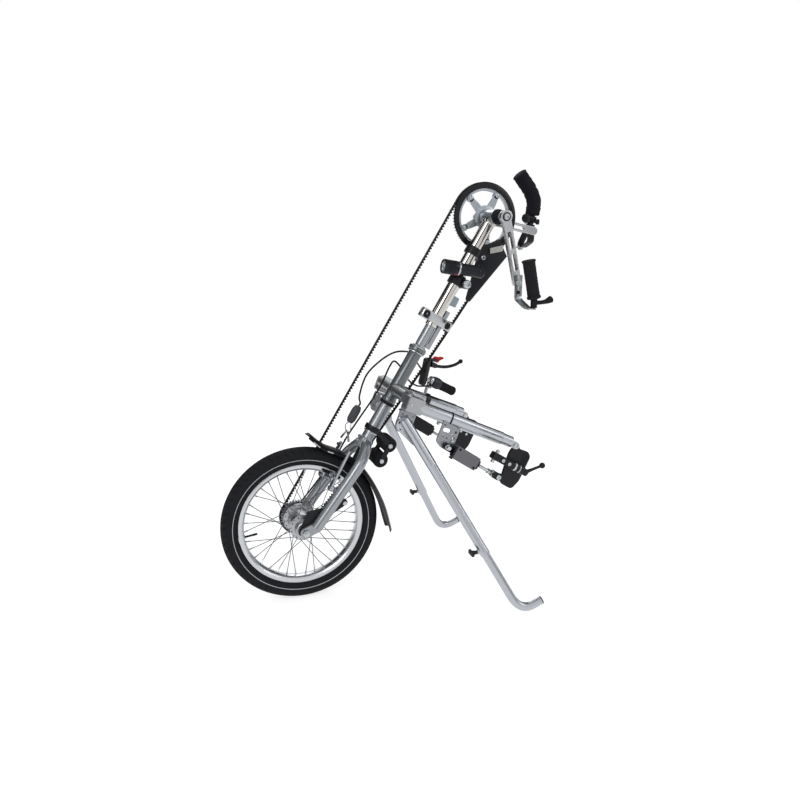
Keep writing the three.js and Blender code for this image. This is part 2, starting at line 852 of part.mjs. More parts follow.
function wheelAxle() {
  const nutStart = lugOuter + gap;
  const nutEnd = nutStart + nutWidth;
  const nearSpacer = torqueArmInner() - gap;
  const farSpacer = beltPlane + beltWidth / 2 + gap;
  return join(
    rod(place(0, -nutEnd - axleTip, 0), place(0, nutEnd + axleTip, 0), axleRadius, pinSides),
    rod(place(0, -nutEnd, 0), place(0, -nutStart, 0), nutRadius, boltSides),
    rod(place(0, nutStart, 0), place(0, nutEnd, 0), nutRadius, boltSides),
    rod(place(0, -nearSpacer, 0), place(0, -nearDishEnd - gap, 0), spacerRadius, pinSides),
    rod(place(0, farSpacer, 0), place(0, lugInner - gap, 0), spacerRadius, pinSides),
  );
}

function torqueArmInner() {
  return lugInner - gap - torqueArmThickness;
}

function hubSprocket() {
  const outline = toothedOutline(sprocketPitchRadius, sprocketTeeth, sprocketPhase);
  return sheetXZ(outline, beltPlane - beltWidth / 2, beltWidth, [disc(0, 0, axleRadius + gap)]);
}

// Fork and what it carries, built with the steering axis upright

function fork() {
  const forms = [];
  const axle = [-forkOffset, 0];
  for (const [side] of sides) {
    const points = legHips.map(([x, y, z]) => [x, side * y, z]);
    forms.push(sweep(smooth(points, legSteps), legRadius, legSides));
    const legFoot = legHips[legHips.length - 1];
    const lug = slot(axle, [legFoot[0], legFoot[2]], lugRadius, legRadius - gap);
    forms.push(sided(sheetXZ(lug, lugInner, lugThickness), side));
    const boss = rod(place(-bossReach / 2, side * bossPlace, bossHeight),
      place(-bossReach - brakeArmWidth - brakeArmGap, side * bossPlace, bossHeight), bossRadius, smallSides);
    forms.push(boss);
  }
  forms.push(rod(place(0, 0, crownBottom), place(0, 0, crownTop), crownRadius, tubeSides));
  forms.push(rod(place(0, 0, crownTop - overrun), place(0, 0, forkTubeTop), forkTubeRadius, tubeSides));
  forms.push(rod(place(0, 0, forkTubeTop - overrun), place(0, 0, steererTop), steererRadius, tubeSides));
  const finStart = columnRadius + gap;
  const fin = [[finStart, finTop], [finStart, finBottom + finDepth], [0, finBottom + finDepth], [0, finBottom],
    [finStart + finDepth, finBottom], [finStart + finDepth, finTop]];
  forms.push(sheetXZ(fin, -finWidth / 2, finWidth));
  const bore = rod(place(0, 0, headBottom), place(0, 0, steererTop + overrun), steererBore, pinSides);
  const axleHoles = rod(place(-forkOffset, -lugOuter - overrun, 0), place(-forkOffset, lugOuter + overrun, 0),
    axleRadius + gap, pinSides);
  return cut(join(forms), bore, axleHoles);
}

// One brake arm on its boss, with its pad holder, before it is put on its side
function brakeArm() {
  const barrelFront = -bossReach - brakeArmWidth;
  const foot = [bossPlace, bossHeight];
  const head = [bossPlace - brakeArmLean, bossHeight + brakeArmHeight];
  const blade = sheetYZ(slot(foot, head, brakeArmWidth / 2, brakeArmWidth / 3), barrelFront, brakeArmThickness);
  const barrel = rod(place(barrelFront, ...foot), place(-bossReach - brakeArmGap, ...foot), brakeBarrelRadius, pinSides);
  const padInner = rimHalfWidth + brakePadClearance;
  const padOuter = padInner + brakePadHeight;
  const padZ = bossHeight + brakePadRise;
  const padX = -forkOffset;
  const pad = box(place(padX - brakePadLength / 2, padInner, padZ - brakePadHeight / 2),
    place(padX + brakePadLength / 2, padOuter, padZ + brakePadHeight / 2));
  const stud = rod(place(padX, padOuter - overrun, padZ), place(padX, bossPlace, padZ), bossRadius, smallSides);
  const bore = rod(place(barrelFront - bossReach, ...foot), place(0, ...foot), bossRadius + gap, smallSides);
  return cut(join(blade, barrel, pad, stud), bore);
}

function torqueArm() {
  const inner = torqueArmInner();
  const line = smooth(legHips, legSteps);
  const next = line.findIndex((point) => point.z < torqueArmLength);
  const [above, below] = [line[next - 1], line[next]];
  const middle = above.clone().lerp(below, (above.z - torqueArmLength) / (above.z - below.z));
  const direction = above.clone().sub(below).normalize();
  const clipFoot = middle.clone().addScaledVector(direction, -torqueClipWidth / 2);
  const clipTop = middle.clone().addScaledVector(direction, torqueClipWidth / 2);
  const clipInner = legRadius + gap;
  const clip = pipe(clipFoot, clipTop, clipInner + torqueClipWall, clipInner);
  const head = [-forkOffset - torqueArmLean, middle.z];
  const outline = slot([-forkOffset, 0], head, nutRadius + overrun, torqueArmWidth / 2);
  const bar = sheetXZ(outline, inner, torqueArmThickness);
  const ear = box(place(head[0], inner, clipFoot.z), place(middle.x, middle.y, clipTop.z));
  const legHole = sweep(line, clipInner, legSides);
  const bore = rod(place(-forkOffset, 0, 0), place(-forkOffset, lugOuter, 0), axleRadius + gap);
  return cut(join(bar, ear, clip), bore, legHole);
}

// The mudguard follows the tyre and flares at both ends
function mudguard() {
  const points = guardAngles.map((angle, i) => {
    const radius = guardRadius + guardFlare * guardFlareShares[i];
    const turn = radians(angle - steeringTilt);
    return [radius * Math.sin(turn) - forkOffset, 0, radius * Math.cos(turn)];
  });
  const arc = [];
  for (let i = -guardFolds; i <= guardFolds; i += 1) {
    const share = i / guardFolds;
    arc.push([share * guardHalfWidth, guardDrop * share * share]);
  }
  const skin = sweepOutline(smooth(points, guardSteps), strip(arc, guardSheet));
  const crownGap = crownBottom - gap;
  const tabFoot = Math.sqrt(guardRadius ** 2 - forkOffset ** 2);
  const half = guardTabWidth / 2;
  const tab = box(place(-half, -half, tabFoot), place(half, half, crownGap));
  return join(skin, tab);
}

function idler([x, z]) {
  const profile = [[idlerPinRadius + gap, 0], [idlerRadius - idlerRib, 0]];
  const ribWidth = idlerWidth / idlerRibs;
  for (let rib = 0; rib < idlerRibs; rib += 1) {
    profile.push(...idlerRibShares.map((share) => [idlerRadius, (rib + share) * ribWidth]));
    profile.push([idlerRadius - idlerRib, (rib + 1) * ribWidth]);
  }
  profile.push([idlerPinRadius + gap, idlerWidth]);
  return turned(profile, idlerSides, place(x, idlerInner, z));
}

function idlerBracket() {
  const plateOuter = idlerInner - gap;
  const plateInner = plateOuter - idlerPlateThickness;
  const collarFoot = crownTop + gap;
  const collarInner = forkTubeRadius + gap;
  const collar = pipe(place(0, 0, collarFoot), place(0, 0, collarFoot + idlerCollarHeight),
    collarInner + idlerCollarWall, collarInner, tubeSides);
  const [upper, lower] = idlerPlaces;
  const reach = slot(upper, lower, idlerRadius / 2);
  const arm = sheetXZ(slot([collarInner + idlerCollarWall / 2, collarFoot + idlerCollarHeight / 2], upper,
    idlerCollarHeight / 2, idlerRadius / 2), plateInner, idlerPlateThickness);
  const pins = idlerPlaces.map(([x, z]) => rod(place(x, plateInner, z),
    place(x, idlerInner + idlerWidth + gap, z), idlerPinRadius, smallSides));
  const heads = idlerPlaces.map(([x, z]) => rod(place(x, idlerInner + idlerWidth + gap, z),
    place(x, idlerInner + idlerWidth + gap + idlerPlateThickness, z), 2 * idlerPinRadius, boltSides));
  const clear = rod(place(0, 0, collarFoot - overrun), place(0, 0, collarFoot + 2 * idlerCollarHeight), collarInner,
    tubeSides);
  return cut(join(collar, sheetXZ(reach, plateInner, idlerPlateThickness), arm, pins, heads), clear);
}

// Frame: head tube, cross tube and the blocks that hold the arms

function armsForm(geometry) {
  return geometry.applyQuaternion(new THREE.Quaternion().setFromAxisAngle(yAxis, slope))
    .translate(crossCentre.x, crossCentre.y, crossCentre.z);
}

const armStart = place(...blockPlace);
const armTip = place(...armEnd);

function mirroredPoint(point, side) {
  return place(point.x, side * point.y, point.z);
}

function mainFrame() {
  const inner = steererRadius + gap;
  const outer = inner + headWall;
  const head = fromSteering(turned([
    [0, headBottom], [outer + headWall, headBottom], [outer + headWall, headBottom + 2 * collarWidth],
    [outer, headBottom + 3 * collarWidth], [outer, headTop - 2 * collarWidth],
    [collarRadius, headTop - collarWidth], [collarRadius, headTop], [0, headTop],
  ], tubeSides, place(0, 0, 0), zAxis));
  const crossHalf = blockPlace[1] - blockWidth / 2 + overrun;
  const cross = rod(place(crossCentre.x, -crossHalf, crossCentre.z), place(crossCentre.x, crossHalf, crossCentre.z),
    crossRadius, tubeSides);
  const blocks = [];
  const sockets = [];
  for (const [side] of sides) {
    const [x, y, z] = blockPlace;
    const low = place(x - blockLength / 2, side * y - blockWidth / 2, z - blockHeight / 2);
    const high = place(x + blockLength / 2, side * y + blockWidth / 2, z + blockHeight / 2);
    blocks.push(armsForm(box(low, high)));
    const from = mirroredPoint(armStart, side);
    sockets.push(armsForm(rod(from, mirroredPoint(armTip, side), armRadius + gap, tubeSides)));
  }
  const bore = fromSteering(rod(place(0, 0, headBottom - overrun), place(0, 0, headTop + overrun), inner, tubeSides));
  return cut(join(head, cross, blocks), bore, sockets);
}

// Docking arm, built in the arms' frame: tube, end collar with hinge cheeks, and link hanger
function dockingArm(side) {
  const direction = armTip.clone().sub(armStart).normalize();
  const start = armStart.clone().addScaledVector(direction, gap);
  const collarStart = armTip.clone().addScaledVector(direction, -armCollarLength);
  const [hingeX, hingeY, hingeZ] = hinge;
  const tube = rod(start, collarStart, armRadius, tubeSides);
  const collar = rod(collarStart.clone().addScaledVector(direction, -overrun), armTip, armCollarRadius, tubeSides);
  const cheekOutline = slot([armTip.x - armCollarRadius, armTip.z], [hingeX, hingeZ], hingeKnuckleRadius);
  const innerCheek = hingeY - clampThickness / 2 - gap - cheekThickness;
  const outerCheek = hingeY + clampThickness / 2 + gap;
  const cheeks = [innerCheek, outerCheek].map((y) => sheetXZ(cheekOutline, y, cheekThickness));
  const pin = rod(place(hingeX, innerCheek, hingeZ), place(hingeX, outerCheek + cheekThickness + overrun, hingeZ),
    hingePinRadius, pinSides);
  const [pivotX, pivotZ] = linkFrontPivot;
  const hangerBack = hangerFront + hangerLength;
  const outline = softened([[hangerFront, hangerTop], [hangerBack, hangerTop], [hangerBack, hangerBottom],
    [pivotX + hingeKnuckleRadius, pivotZ - hingeKnuckleRadius], [pivotX - hingeKnuckleRadius, pivotZ - hingeKnuckleRadius],
    [hangerFront, hangerBottom]], clampSoftening);
  const slotZ = (hangerTop + hangerBottom) / 2;
  const holes = [
    slot([hangerFront + armRadius, slotZ], [hangerFront + 1.5 * armRadius, slotZ], guidePinRadius),
    disc(hangerBack - armRadius / 2, slotZ + armRadius / 2, hingePinRadius / 2, smallSides),
    disc(hangerBack - armRadius / 2, slotZ - armRadius / 2, hingePinRadius / 2, smallSides),
  ];
  const hanger = sheetXZ(outline, hangerInner, hangerThickness, holes);
  const linkPin = rod(place(pivotX, hangerInner, pivotZ), place(pivotX, hingeY + linkBoxWidth / 2, pivotZ),
    hingePinRadius, pinSides);
  return join([tube, collar, ...cheeks, pin, hanger, linkPin].map((form) => sided(form, side)));
}

// Clamp plate in the frame of its hinge, with the guide holes for the bar and the eye of the link
function clampPlate(side) {
  const outline = softened(clampShares.map(([u, v]) => [u * clampWidth, v * clampHeight]), clampSoftening);
  const inner = hinge[1] - clampThickness / 2;
  const knuckle = slot([0, 0], [hingeKnuckleRadius, -hingeKnuckleRadius], hingeKnuckleRadius);
  const lug = slot(linkRearPivot, [hingeKnuckleRadius, linkRearPivot[1]], hingeKnuckleRadius);
  const forms = [outline, knuckle, lug].map((shape) => sheetXZ(shape, inner, clampThickness));
  const holes = [rod(place(0, 0, 0), place(0, hinge[1] + clampThickness, 0), hingePinRadius + gap, pinSides)];
  holes.push(rod(place(linkRearPivot[0], 0, linkRearPivot[1]), place(linkRearPivot[0], hinge[1] + clampThickness,
    linkRearPivot[1]), hingePinRadius + clevisSlack, pinSides));
  for (const [x, z] of guidePinPoints()) {
    holes.push(rod(place(x, 0, z), place(x, hinge[1] + clampThickness, z), guidePinRadius + gap, smallSides));
  }
  return cut(join(forms.map((form) => sided(form, side))), holes.map((hole) => sided(hole, side)));
}

const barTilt = radians(clampBarTilt);

function alongBar(distance) {
  return [clampBarPlace[0] + distance * Math.cos(barTilt), clampBarPlace[1] - distance * Math.sin(barTilt)];
}

function guidePinPoints() {
  return guidePinPlaces.map(alongBar);
}

// Clamping bar: a square bar, the barrel of the lever's cam, two guide pins and two set screws
function clampBar(side) {
  const plateFace = hinge[1] + clampThickness / 2;
  const inner = plateFace + clampBarGap;
  const middle = inner + clampBarWidth / 2;
  const half = clampBarHeight / 2;
  const beam = box(place(0, -clampBarWidth / 2, -half), place(clampBarLength, clampBarWidth / 2, half));
  const barrelEnd = clampBarLength + clampBarrelLength;
  const barrel = rod(place(clampBarLength - overrun, 0, 0), place(barrelEnd, 0, 0), clampBarrelRadius, tubeSides);
  const spindleEnd = barrelEnd + clampLeverWidth + 2 * overrun;
  const spindle = rod(place(barrelEnd - overrun, 0, 0), place(spindleEnd, 0, 0), guidePinRadius, smallSides);
  const screws = [-1, 1].map((way) => rod(place(clampBarWidth / 2, 0, 0), place(clampBarWidth / 2, 0,
    way * (half + clampBarGap)), guidePinRadius, boltSides));
  const shift = ([x, z], geometry) => geometry.rotateY(barTilt).translate(x, middle, z);
  const forms = [beam, barrel, spindle, ...screws].map((form) => shift(clampBarPlace, form));
  for (const [x, z] of guidePinPoints()) {
    const pinInner = hinge[1] - clampThickness / 2 - 2 * overrun;
    forms.push(rod(place(x, pinInner, z), place(x, middle, z), guidePinRadius, smallSides));
  }
  return join(forms.map((form) => sided(form, side)));
}

function clampLeverPlace() {
  const distance = clampBarLength + clampBarrelLength + gap;
  const [x, z] = alongBar(distance);
  const y = hinge[1] + clampThickness / 2 + clampBarGap + clampBarWidth / 2;
  return [x, y, z];
}

function clampLever(side) {
  const hubForm = pipe(place(0, 0, 0), place(clampLeverWidth, 0, 0), clampLeverHub, guidePinRadius + gap, pinSides);
  const root = place(clampLeverWidth / 2, 0, 0);
  const tip = place(...clampLeverReach);
  const stem = rod(root, tip, clampLeverRod, smallSides);
  const bore = rod(place(-overrun, 0, 0), place(clampLeverWidth + 4 * overrun, 0, 0), guidePinRadius + gap, pinSides);
  const lever = [hubForm, stem, ball(tip, clampLeverBall)].map((form) => sided(form.rotateY(barTilt), side));
  return cut(join(lever), sided(bore.rotateY(barTilt), side));
}

// Link, built along X from its front pivot
const linkSpan = place(hinge[0] + linkRearPivot[0] - linkFrontPivot[0], 0,
  hinge[2] + linkRearPivot[1] - linkFrontPivot[1]);
const linkLength = linkSpan.length();
const linkAngle = Math.atan2(-linkSpan.z, linkSpan.x);

function linkBox(side) {
  const middle = hinge[1];
  const shell = box(place(linkBoxStart, middle - linkBoxWidth / 2, -linkBoxHeight / 2),
    place(linkBoxStart + linkBoxLength, middle + linkBoxWidth / 2, linkBoxHeight / 2));
  const tongueInner = hangerInner + hangerThickness + gap;
  const tongueWidth = middle - linkBoxWidth / 2 - tongueInner + linkWall;
  const tongue = sheetXZ(slot([0, 0], [linkBoxStart + hingeKnuckleRadius, 0], hingeKnuckleRadius), tongueInner, tongueWidth);
  const eye = rod(place(0, 0, 0), place(0, 2 * middle, 0), hingePinRadius + gap, pinSides);
  const bore = rod(place(linkBoxStart + linkWall, middle, 0), place(linkBoxStart + linkBoxLength + overrun, middle, 0),
    linkRodRadius + gap, smallSides);
  return cut(join(sided(shell, side), sided(tongue, side)), sided(eye, side), sided(bore, side));
}

function linkRod(side) {
  const middle = hinge[1];
  const start = linkBoxStart + linkBoxLength - linkRodInsert;
  const clevisStart = linkLength - clevisLength;
  const stem = rod(place(start, middle, 0), place(clevisStart + overrun, middle, 0), linkRodRadius, smallSides);
  const cheekInner = clampThickness / 2 + gap;
  const outline = slot([clevisStart + hingeKnuckleRadius, 0], [linkLength, 0], hingeKnuckleRadius);
  const cheeks = [middle + cheekInner, middle - cheekInner - cheekThickness]
    .map((y) => sheetXZ(outline, y, cheekThickness));
  const halfWidth = cheekInner + cheekThickness;
  const bridge = box(place(clevisStart, middle - halfWidth, -hingeKnuckleRadius / 2),
    place(clevisStart + cheekThickness, middle + halfWidth, hingeKnuckleRadius / 2));
  const pin = rod(place(linkLength, middle - halfWidth - overrun, 0), place(linkLength, middle + halfWidth + overrun, 0),
    hingePinRadius, pinSides);
  return join([stem, ...cheeks, bridge, pin].map((form) => sided(form, side)));
}

// Stand, built from the point where its leg turns

const standPoint = fromArms(place(standPivot[0], 0, standPivot[1]));
const plateOuter = standPlateInner + standPlateThickness;
const legPlateInner = plateOuter + gap;
const legPlateOuter = legPlateInner + standPlateThickness;

function standPlate(side) {
  const blockBottom = blockPlace[2] - blockHeight / 2 - gap - standPivot[1];
  const front = blockPlace[0] - blockLength / 2 - standPivot[0];
  const outline = softened([[front, blockBottom], [front + standPlateTop, blockBottom],
    [standPlateShoulder, -standPlateRadius / 2], [standPlateRadius / 2, -standPlateRadius],
    [-standPlateRadius / 2, -standPlateRadius], [-standPlateRadius, -standPlateRadius / 3]], clampSoftening);
  const plate = sheetXZ(outline, standPlateInner, standPlateThickness,
    [disc(...standPlateHole, standHoleRadius, smallSides)]);
  const flange = box(place(front, blockPlace[1] - blockWidth / 2, blockBottom - standPlateThickness),
    place(front + standPlateTop, standPlateInner + overrun, blockBottom));
  const pin = rod(place(0, standPlateInner, 0), place(0, legPlateOuter, 0), standPinRadius, pinSides);
  const head = rod(place(0, standPlateInner - standPlateThickness, 0), place(0, standPlateInner + overrun, 0),
    2 * standPinRadius, boltSides);
  return join([plate, flange, pin, head].map((form) => sided(form.rotateY(slope), side)));
}

const legTop = place(...legStart);
const legFoot = place(legBend[0], legBend[1], footTubeHeight - standPoint.z);
const legLine = legFoot.clone().sub(legTop);
const legUnit = legLine.clone().normalize();
const splitLength = legLine.length() * standSplitShare;

function legPoint(distance) {
  return legTop.clone().addScaledVector(legUnit, distance);
}

function standLeg(side) {
  const tube = rod(legPoint(-standTubeRadius), legPoint(splitLength), standTubeRadius, tubeSides);
  const weld = legPoint(3 * standPlateRadius);
  const plateOutline = slot([0, 0], [weld.x, weld.z], standPlateRadius, standTubeRadius);
  const plate = sheetXZ(plateOutline, legPlateInner, standPlateThickness,
    [disc(...standLegHole, standHoleRadius, smallSides)]);
  const socket = knobSocket();
  const boss = rod(socket.root, socket.face, knobBossRadius, smallSides);
  const trim = box(place(-4 * standPlateRadius, legPlateInner - 2 * standTubeRadius, -4 * standPlateRadius),
    place(4 * standPlateRadius, legPlateInner, 4 * standPlateRadius));
  const bore = rod(legPoint(splitLength - standBoreDepth), legPoint(splitLength + overrun), footTubeRadius + gap,
    tubeSides);
  const pinHole = rod(place(0, 0, 0), place(0, legPlateOuter + overrun, 0), standPinRadius + gap, pinSides);
  const stemHole = rod(socket.stem, socket.face.clone().add(place(-overrun, 0, 0)), knobStem + gap, smallSides);
  const solid = join([tube, plate, boss].map((form) => sided(form, side)));
  return cut(solid, [trim, bore, pinHole, stemHole].map((form) => sided(form, side)));
}

// The knob's threaded boss sits in front of the tube just above its lower end
function knobSocket() {
  const centre = legPoint(splitLength - knobBossRadius - overrun);
  const root = centre.clone();
  const face = centre.clone().add(place(-standTubeRadius - knobBossRadius, 0, 0));
  const stem = centre.clone().add(place(-footTubeRadius - gap, 0, 0));
  return { root, face, stem };
}

function standKnob(side) {
  const socket = knobSocket();
  const tip = place(-gap, 0, 0).sub(socket.face.clone().sub(socket.stem));
  const stem = rod(place(-tip.x, 0, 0).add(place(-gap, 0, 0)), place(-knobReach / 2, 0, 0), knobStem, smallSides);
  const collar = rod(place(-gap, 0, 0), place(-knobReach / 3, 0, 0), knobCollar, smallSides);
  const [wide, high] = [knobWidth / 2, knobHeight / 2];
  const outline = softened([[-wide, -high], [wide, -high], [wide, high], [-wide, high]], knobThickness / 2);
  const wing = sheetYZ(outline, -knobReach / 3 - knobThickness, knobThickness);
  return join([stem, collar, wing].map((form) => sided(form, side)));
}

function standFoot(side) {
  const end = place(legFoot.x + footReach, legFoot.y, legFoot.z);
  const line = cornered(legPoint(splitLength - footInsert), legFoot, end, footBendRadius);
  return sided(sweep(line, footTubeRadius, pinSides), side);
}

function footCap(side) {
  const end = place(legFoot.x + footReach, legFoot.y, legFoot.z);
  const open = end.clone().add(place(footCapFloor - footCapLength, 0, 0));
  const shut = end.clone().add(place(footCapFloor + gap, 0, 0));
  const cap = rod(open, shut, footCapRadius, tubeSides);
  const bore = rod(open.clone().add(place(-overrun, 0, 0)), end.clone().add(place(gap, 0, 0)), footTubeRadius + gap,
    tubeSides);
  const ground = box(place(open.x - overrun, end.y - 2 * footCapRadius, -standPoint.z - footCapRadius),
    place(shut.x + overrun, end.y + 2 * footCapRadius, -standPoint.z));
  return cut(sided(cap, side), sided(bore, side), sided(ground, side));
}

// Sliding column

function column() {
  const inner = steererRadius + gap;
  const tube = rod(place(0, 0, columnBottom), place(0, 0, crankAlong), columnRadius, tubeSides);
  const shell = rod(place(0, -shellHalfWidth, crankAlong), place(0, shellHalfWidth, crankAlong), shellRadius, tubeSides);
  const bore = rod(place(0, 0, columnBottom - overrun), place(0, 0, columnBoreTop), inner, tubeSides);
  const bearing = rod(place(0, -shellHalfWidth - overrun, crankAlong), place(0, shellHalfWidth + overrun, crankAlong),
    spindleRadius + cartridgeWall + gap, tubeSides);
  return cut(join(tube, shell), bore, bearing);
}

function heightClamp() {
  const side = clampBlockHalfWidth;
  const nose = clampBlockNose;
  const outline = softened([[-clampBlockFront, -nose], [-columnRadius, -side], [columnRadius, -side],
    [clampBlockBack, -nose], [clampBlockBack, nose], [columnRadius, side], [-columnRadius, side],
    [-clampBlockFront, nose]], clampBlockSoftening);
  const height = clampBlockTop - clampBlockBottom;
  const block = sheetXY(outline, clampBlockBottom, height);
  const tubeHole = rod(place(0, 0, clampBlockBottom - overrun), place(0, 0, clampBlockTop + overrun),
    columnRadius + gap, tubeSides);
  const finHole = box(place(0, -finWidth / 2 - gap, clampBlockBottom - overrun),
    place(columnRadius + gap + finDepth + gap, finWidth / 2 + gap, clampBlockTop + overrun));
  const slit = box(place(-clampBlockFront - overrun, -overrun / 2, clampBlockBottom - overrun),
    place(0, overrun / 2, clampBlockTop + overrun));
  const middle = (clampBlockBottom + clampBlockTop) / 2;
  const boltHole = rod(place(-clampBoltPlace, -side, middle), place(-clampBoltPlace, side, middle),
    clampBoltRadius / 2 + gap, smallSides);
  const recess = rod(place(-clampBoltPlace, -side - overrun, middle), place(-clampBoltPlace, -nose / 2, middle),
    clampBoltRadius + gap, pinSides);
  return cut(block, tubeHole, finHole, slit, boltHole, recess);
}

function clampBolt() {
  const middle = (clampBlockBottom + clampBlockTop) / 2;
  const nose = clampBlockNose;
  const head = rod(place(-clampBoltPlace, -clampBlockHalfWidth, middle), place(-clampBoltPlace, -nose / 2 - gap, middle),
    clampBoltRadius, smallSides);
  const shank = rod(place(-clampBoltPlace, -nose / 2 - overrun, middle),
    place(-clampBoltPlace, clampBlockHalfWidth + overrun, middle), clampBoltRadius / 2, smallSides);
  const socket = rod(place(-clampBoltPlace, -clampBlockHalfWidth - overrun, middle),
    place(-clampBoltPlace, -nose, middle), clampBoltRadius / 2, boltSides);
  return cut(join(head, shank), socket);
}

function ringClamp() {
  const inner = columnRadius + gap;
  const outer = inner + ringClampWall;
  const [low, high] = [ringClampAlong - ringClampHeight / 2, ringClampAlong + ringClampHeight / 2];
  const ear = box(place(outer - overrun, -spacerRadius, low), place(outer + ringClampEar, spacerRadius, high));
  const hole = rod(place(0, 0, low - overrun), place(0, 0, high + overrun), inner, tubeSides);
  const body = rod(place(0, 0, low), place(0, 0, high), outer, tubeSides);
  const slit = box(place(inner - overrun, -overrun / 2, ringClampAlong - ringClampHeight),
    place(outer + ringClampEar + overrun, overrun / 2, ringClampAlong + ringClampHeight));
  const boltX = outer + ringClampEar / 2;
  const bolt = rod(place(boltX, -spacerRadius - overrun, ringClampAlong),
    place(boltX, spacerRadius + overrun, ringClampAlong), guidePinRadius, smallSides);
  return join(cut(join(body, ear), hole, slit), bolt);
}

function lampMount() {
  const inner = columnRadius + gap;
  const outer = inner + lampMountWall;
  const low = lampMountAlong;
  const high = lampMountAlong + lampMountHeight;
  const ring = pipe(place(0, 0, low), place(0, 0, high), outer, inner, tubeSides);
  const middle = (low + high) / 2;
  const bolt = rod(place(outer, -outer - lampBoltRadius / 2, middle), place(outer, overrun, middle), lampBoltRadius,
    pinSides);
  const cradle = rod(place(0, -inner - overrun / 2, high - 2 * lampMountWall),
    place(0, -inner - overrun / 2, high + overrun), lampMountWall, smallSides);
  const hole = rod(place(0, 0, low - overrun), place(0, 0, high + lampMountHeight), inner, tubeSides);
  return cut(join(ring, bolt, cradle), hole);
}

const lampFront = localPoint(lampStart[0], lampPlace, lampStart[1]);
const lampBack = localPoint(lampEnd[0], lampPlace, lampEnd[1]);

function localPoint(x, y, z) {
  return place(x, y, z).sub(steeringFoot).applyAxisAngle(yAxis, -tilt);
}

function headlamp() {
  const length = lampFront.distanceTo(lampBack);
  const direction = lampBack.clone().sub(lampFront);
  const head = lampHeadShare * length;
  return turned([[0, 0], [lampHeadRadius - overrun, 0], [lampHeadRadius, overrun], [lampHeadRadius, head],
    [lampBarrelRadius, head], [lampBarrelRadius, length - overrun], [lampBarrelRadius - overrun, length], [0, length]],
  tubeSides, lampFront, direction);
}

function beltGuard() {
  const reach = spiderBoltCircle + spiderBoltRadius + overrun;
  const corner = beltGuardTop - crankAlong;
  const curve = beltGuardAngles.map(radians)
    .map((angle) => [reach * Math.cos(angle), crankAlong + reach * Math.sin(angle)]);
  const outline = [[beltGuardFront - beltGuardStrapWidth, beltGuardBottom], [beltGuardFront, beltGuardBottom],
    [beltGuardBack, crankAlong + corner], ...curve.reverse()];
  const plate = sheetXZ(outline, beltGuardPlace, beltGuardThickness);
  const earBack = columnRadius + gap + ringClampWall + ringClampEar;
  const strap = box(place(earBack - beltGuardStrapWidth, spacerRadius + overrun + gap, ringClampAlong - ringClampHeight / 2),
    place(earBack, beltGuardPlace + overrun, ringClampAlong + ringClampHeight / 2));
  return join(plate, strap);
}

// Crank bearing, pulley, cranks and handles, built from the middle of the bearing

function bottomBracket() {
  const outer = spindleRadius + cartridgeWall;
  const bore = spindleRadius + gap;
  const cupStart = shellHalfWidth + gap;
  const cupEnd = cupStart + cupWidth;
  return turned([[bore, -cupEnd], [shellRadius, -cupEnd], [shellRadius, -cupStart], [outer, -cupStart], [outer, cupStart],
    [shellRadius, cupStart], [shellRadius, cupEnd], [bore, cupEnd]], tubeSides);
}

function spiderAngles() {
  const angles = [];
  for (let i = 0; i < spiderArms; i += 1) angles.push(radians(spiderTurn + steeringTilt + 360 * i / spiderArms));
  return angles;
}

const pulleyNear = beltPlane - beltWidth / 2;
const spiderNear = pulleyNear - gap - spiderThickness;

function drivePulley() {
  const outline = toothedOutline(pulleyPitchRadius, pulleyTeeth, pulleyPhase);
  const rim = sheetXZ(outline, pulleyNear, beltWidth, [disc(0, 0, pulleyInner, ringSides)]);
  const ears = spiderAngles().map((angle) => sheetXZ(slot(
    [spiderBoltCircle * Math.cos(angle), spiderBoltCircle * Math.sin(angle)],
    [pulleyInner * Math.cos(angle), pulleyInner * Math.sin(angle)], spiderPadRadius), pulleyNear, beltWidth / 2));
  const holes = spiderAngles().map((angle) => {
    const [x, z] = [spiderBoltCircle * Math.cos(angle), spiderBoltCircle * Math.sin(angle)];
    return rod(place(x, 0, z), place(x, 2 * beltPlane, z), spiderBoltRadius + gap, smallSides);
  });
  return cut(join(rim, ears), holes);
}

function pulleyGuard() {
  const far = pulleyNear - gap;
  return turned([[guardRingInner, far - guardRingThickness], [guardRingOuter - overrun, far - guardRingThickness],
    [guardRingOuter, far - overrun], [guardRingOuter, far], [guardRingInner, far]], ringSides);
}

// Crank arm along X, with two through slots
function crankArm(inner) {
  const ends = slot([0, 0], [crankLength, 0], crankHeadRadius, crankEndRadius, crankEndSteps);
  const [waistPlace, waist] = crankWaist;
  const outline = [...ends.slice(0, crankEndSteps + 1), [waistPlace, -waist], ...ends.slice(crankEndSteps + 1),
    [waistPlace, waist]];
  const holes = crankSlotShares.map(([from, to]) => slot([from * crankLength, 0], [to * crankLength, 0], crankSlotRadius));
  return sheetXZ(outline, inner, crankThickness, holes);
}

function leftCrank() {
  const inner = -crankInner - crankThickness;
  const arm = crankArm(inner);
  const hole = rod(place(0, inner - overrun, 0), place(0, -crankInner + overrun, 0), spindleRadius + gap, pinSides);
  const end = place(crankLength, 0, 0);
  const pedalHole = rod(place(end.x, inner - overrun, 0), place(end.x, -crankInner + overrun, 0),
    handlePinRadius + gap, pinSides);
  return cut(arm, hole, pedalHole);
}

const leftTurn = leftCrankAngle - steeringTilt;
const rightTurn = rightCrankAngle - steeringTilt;

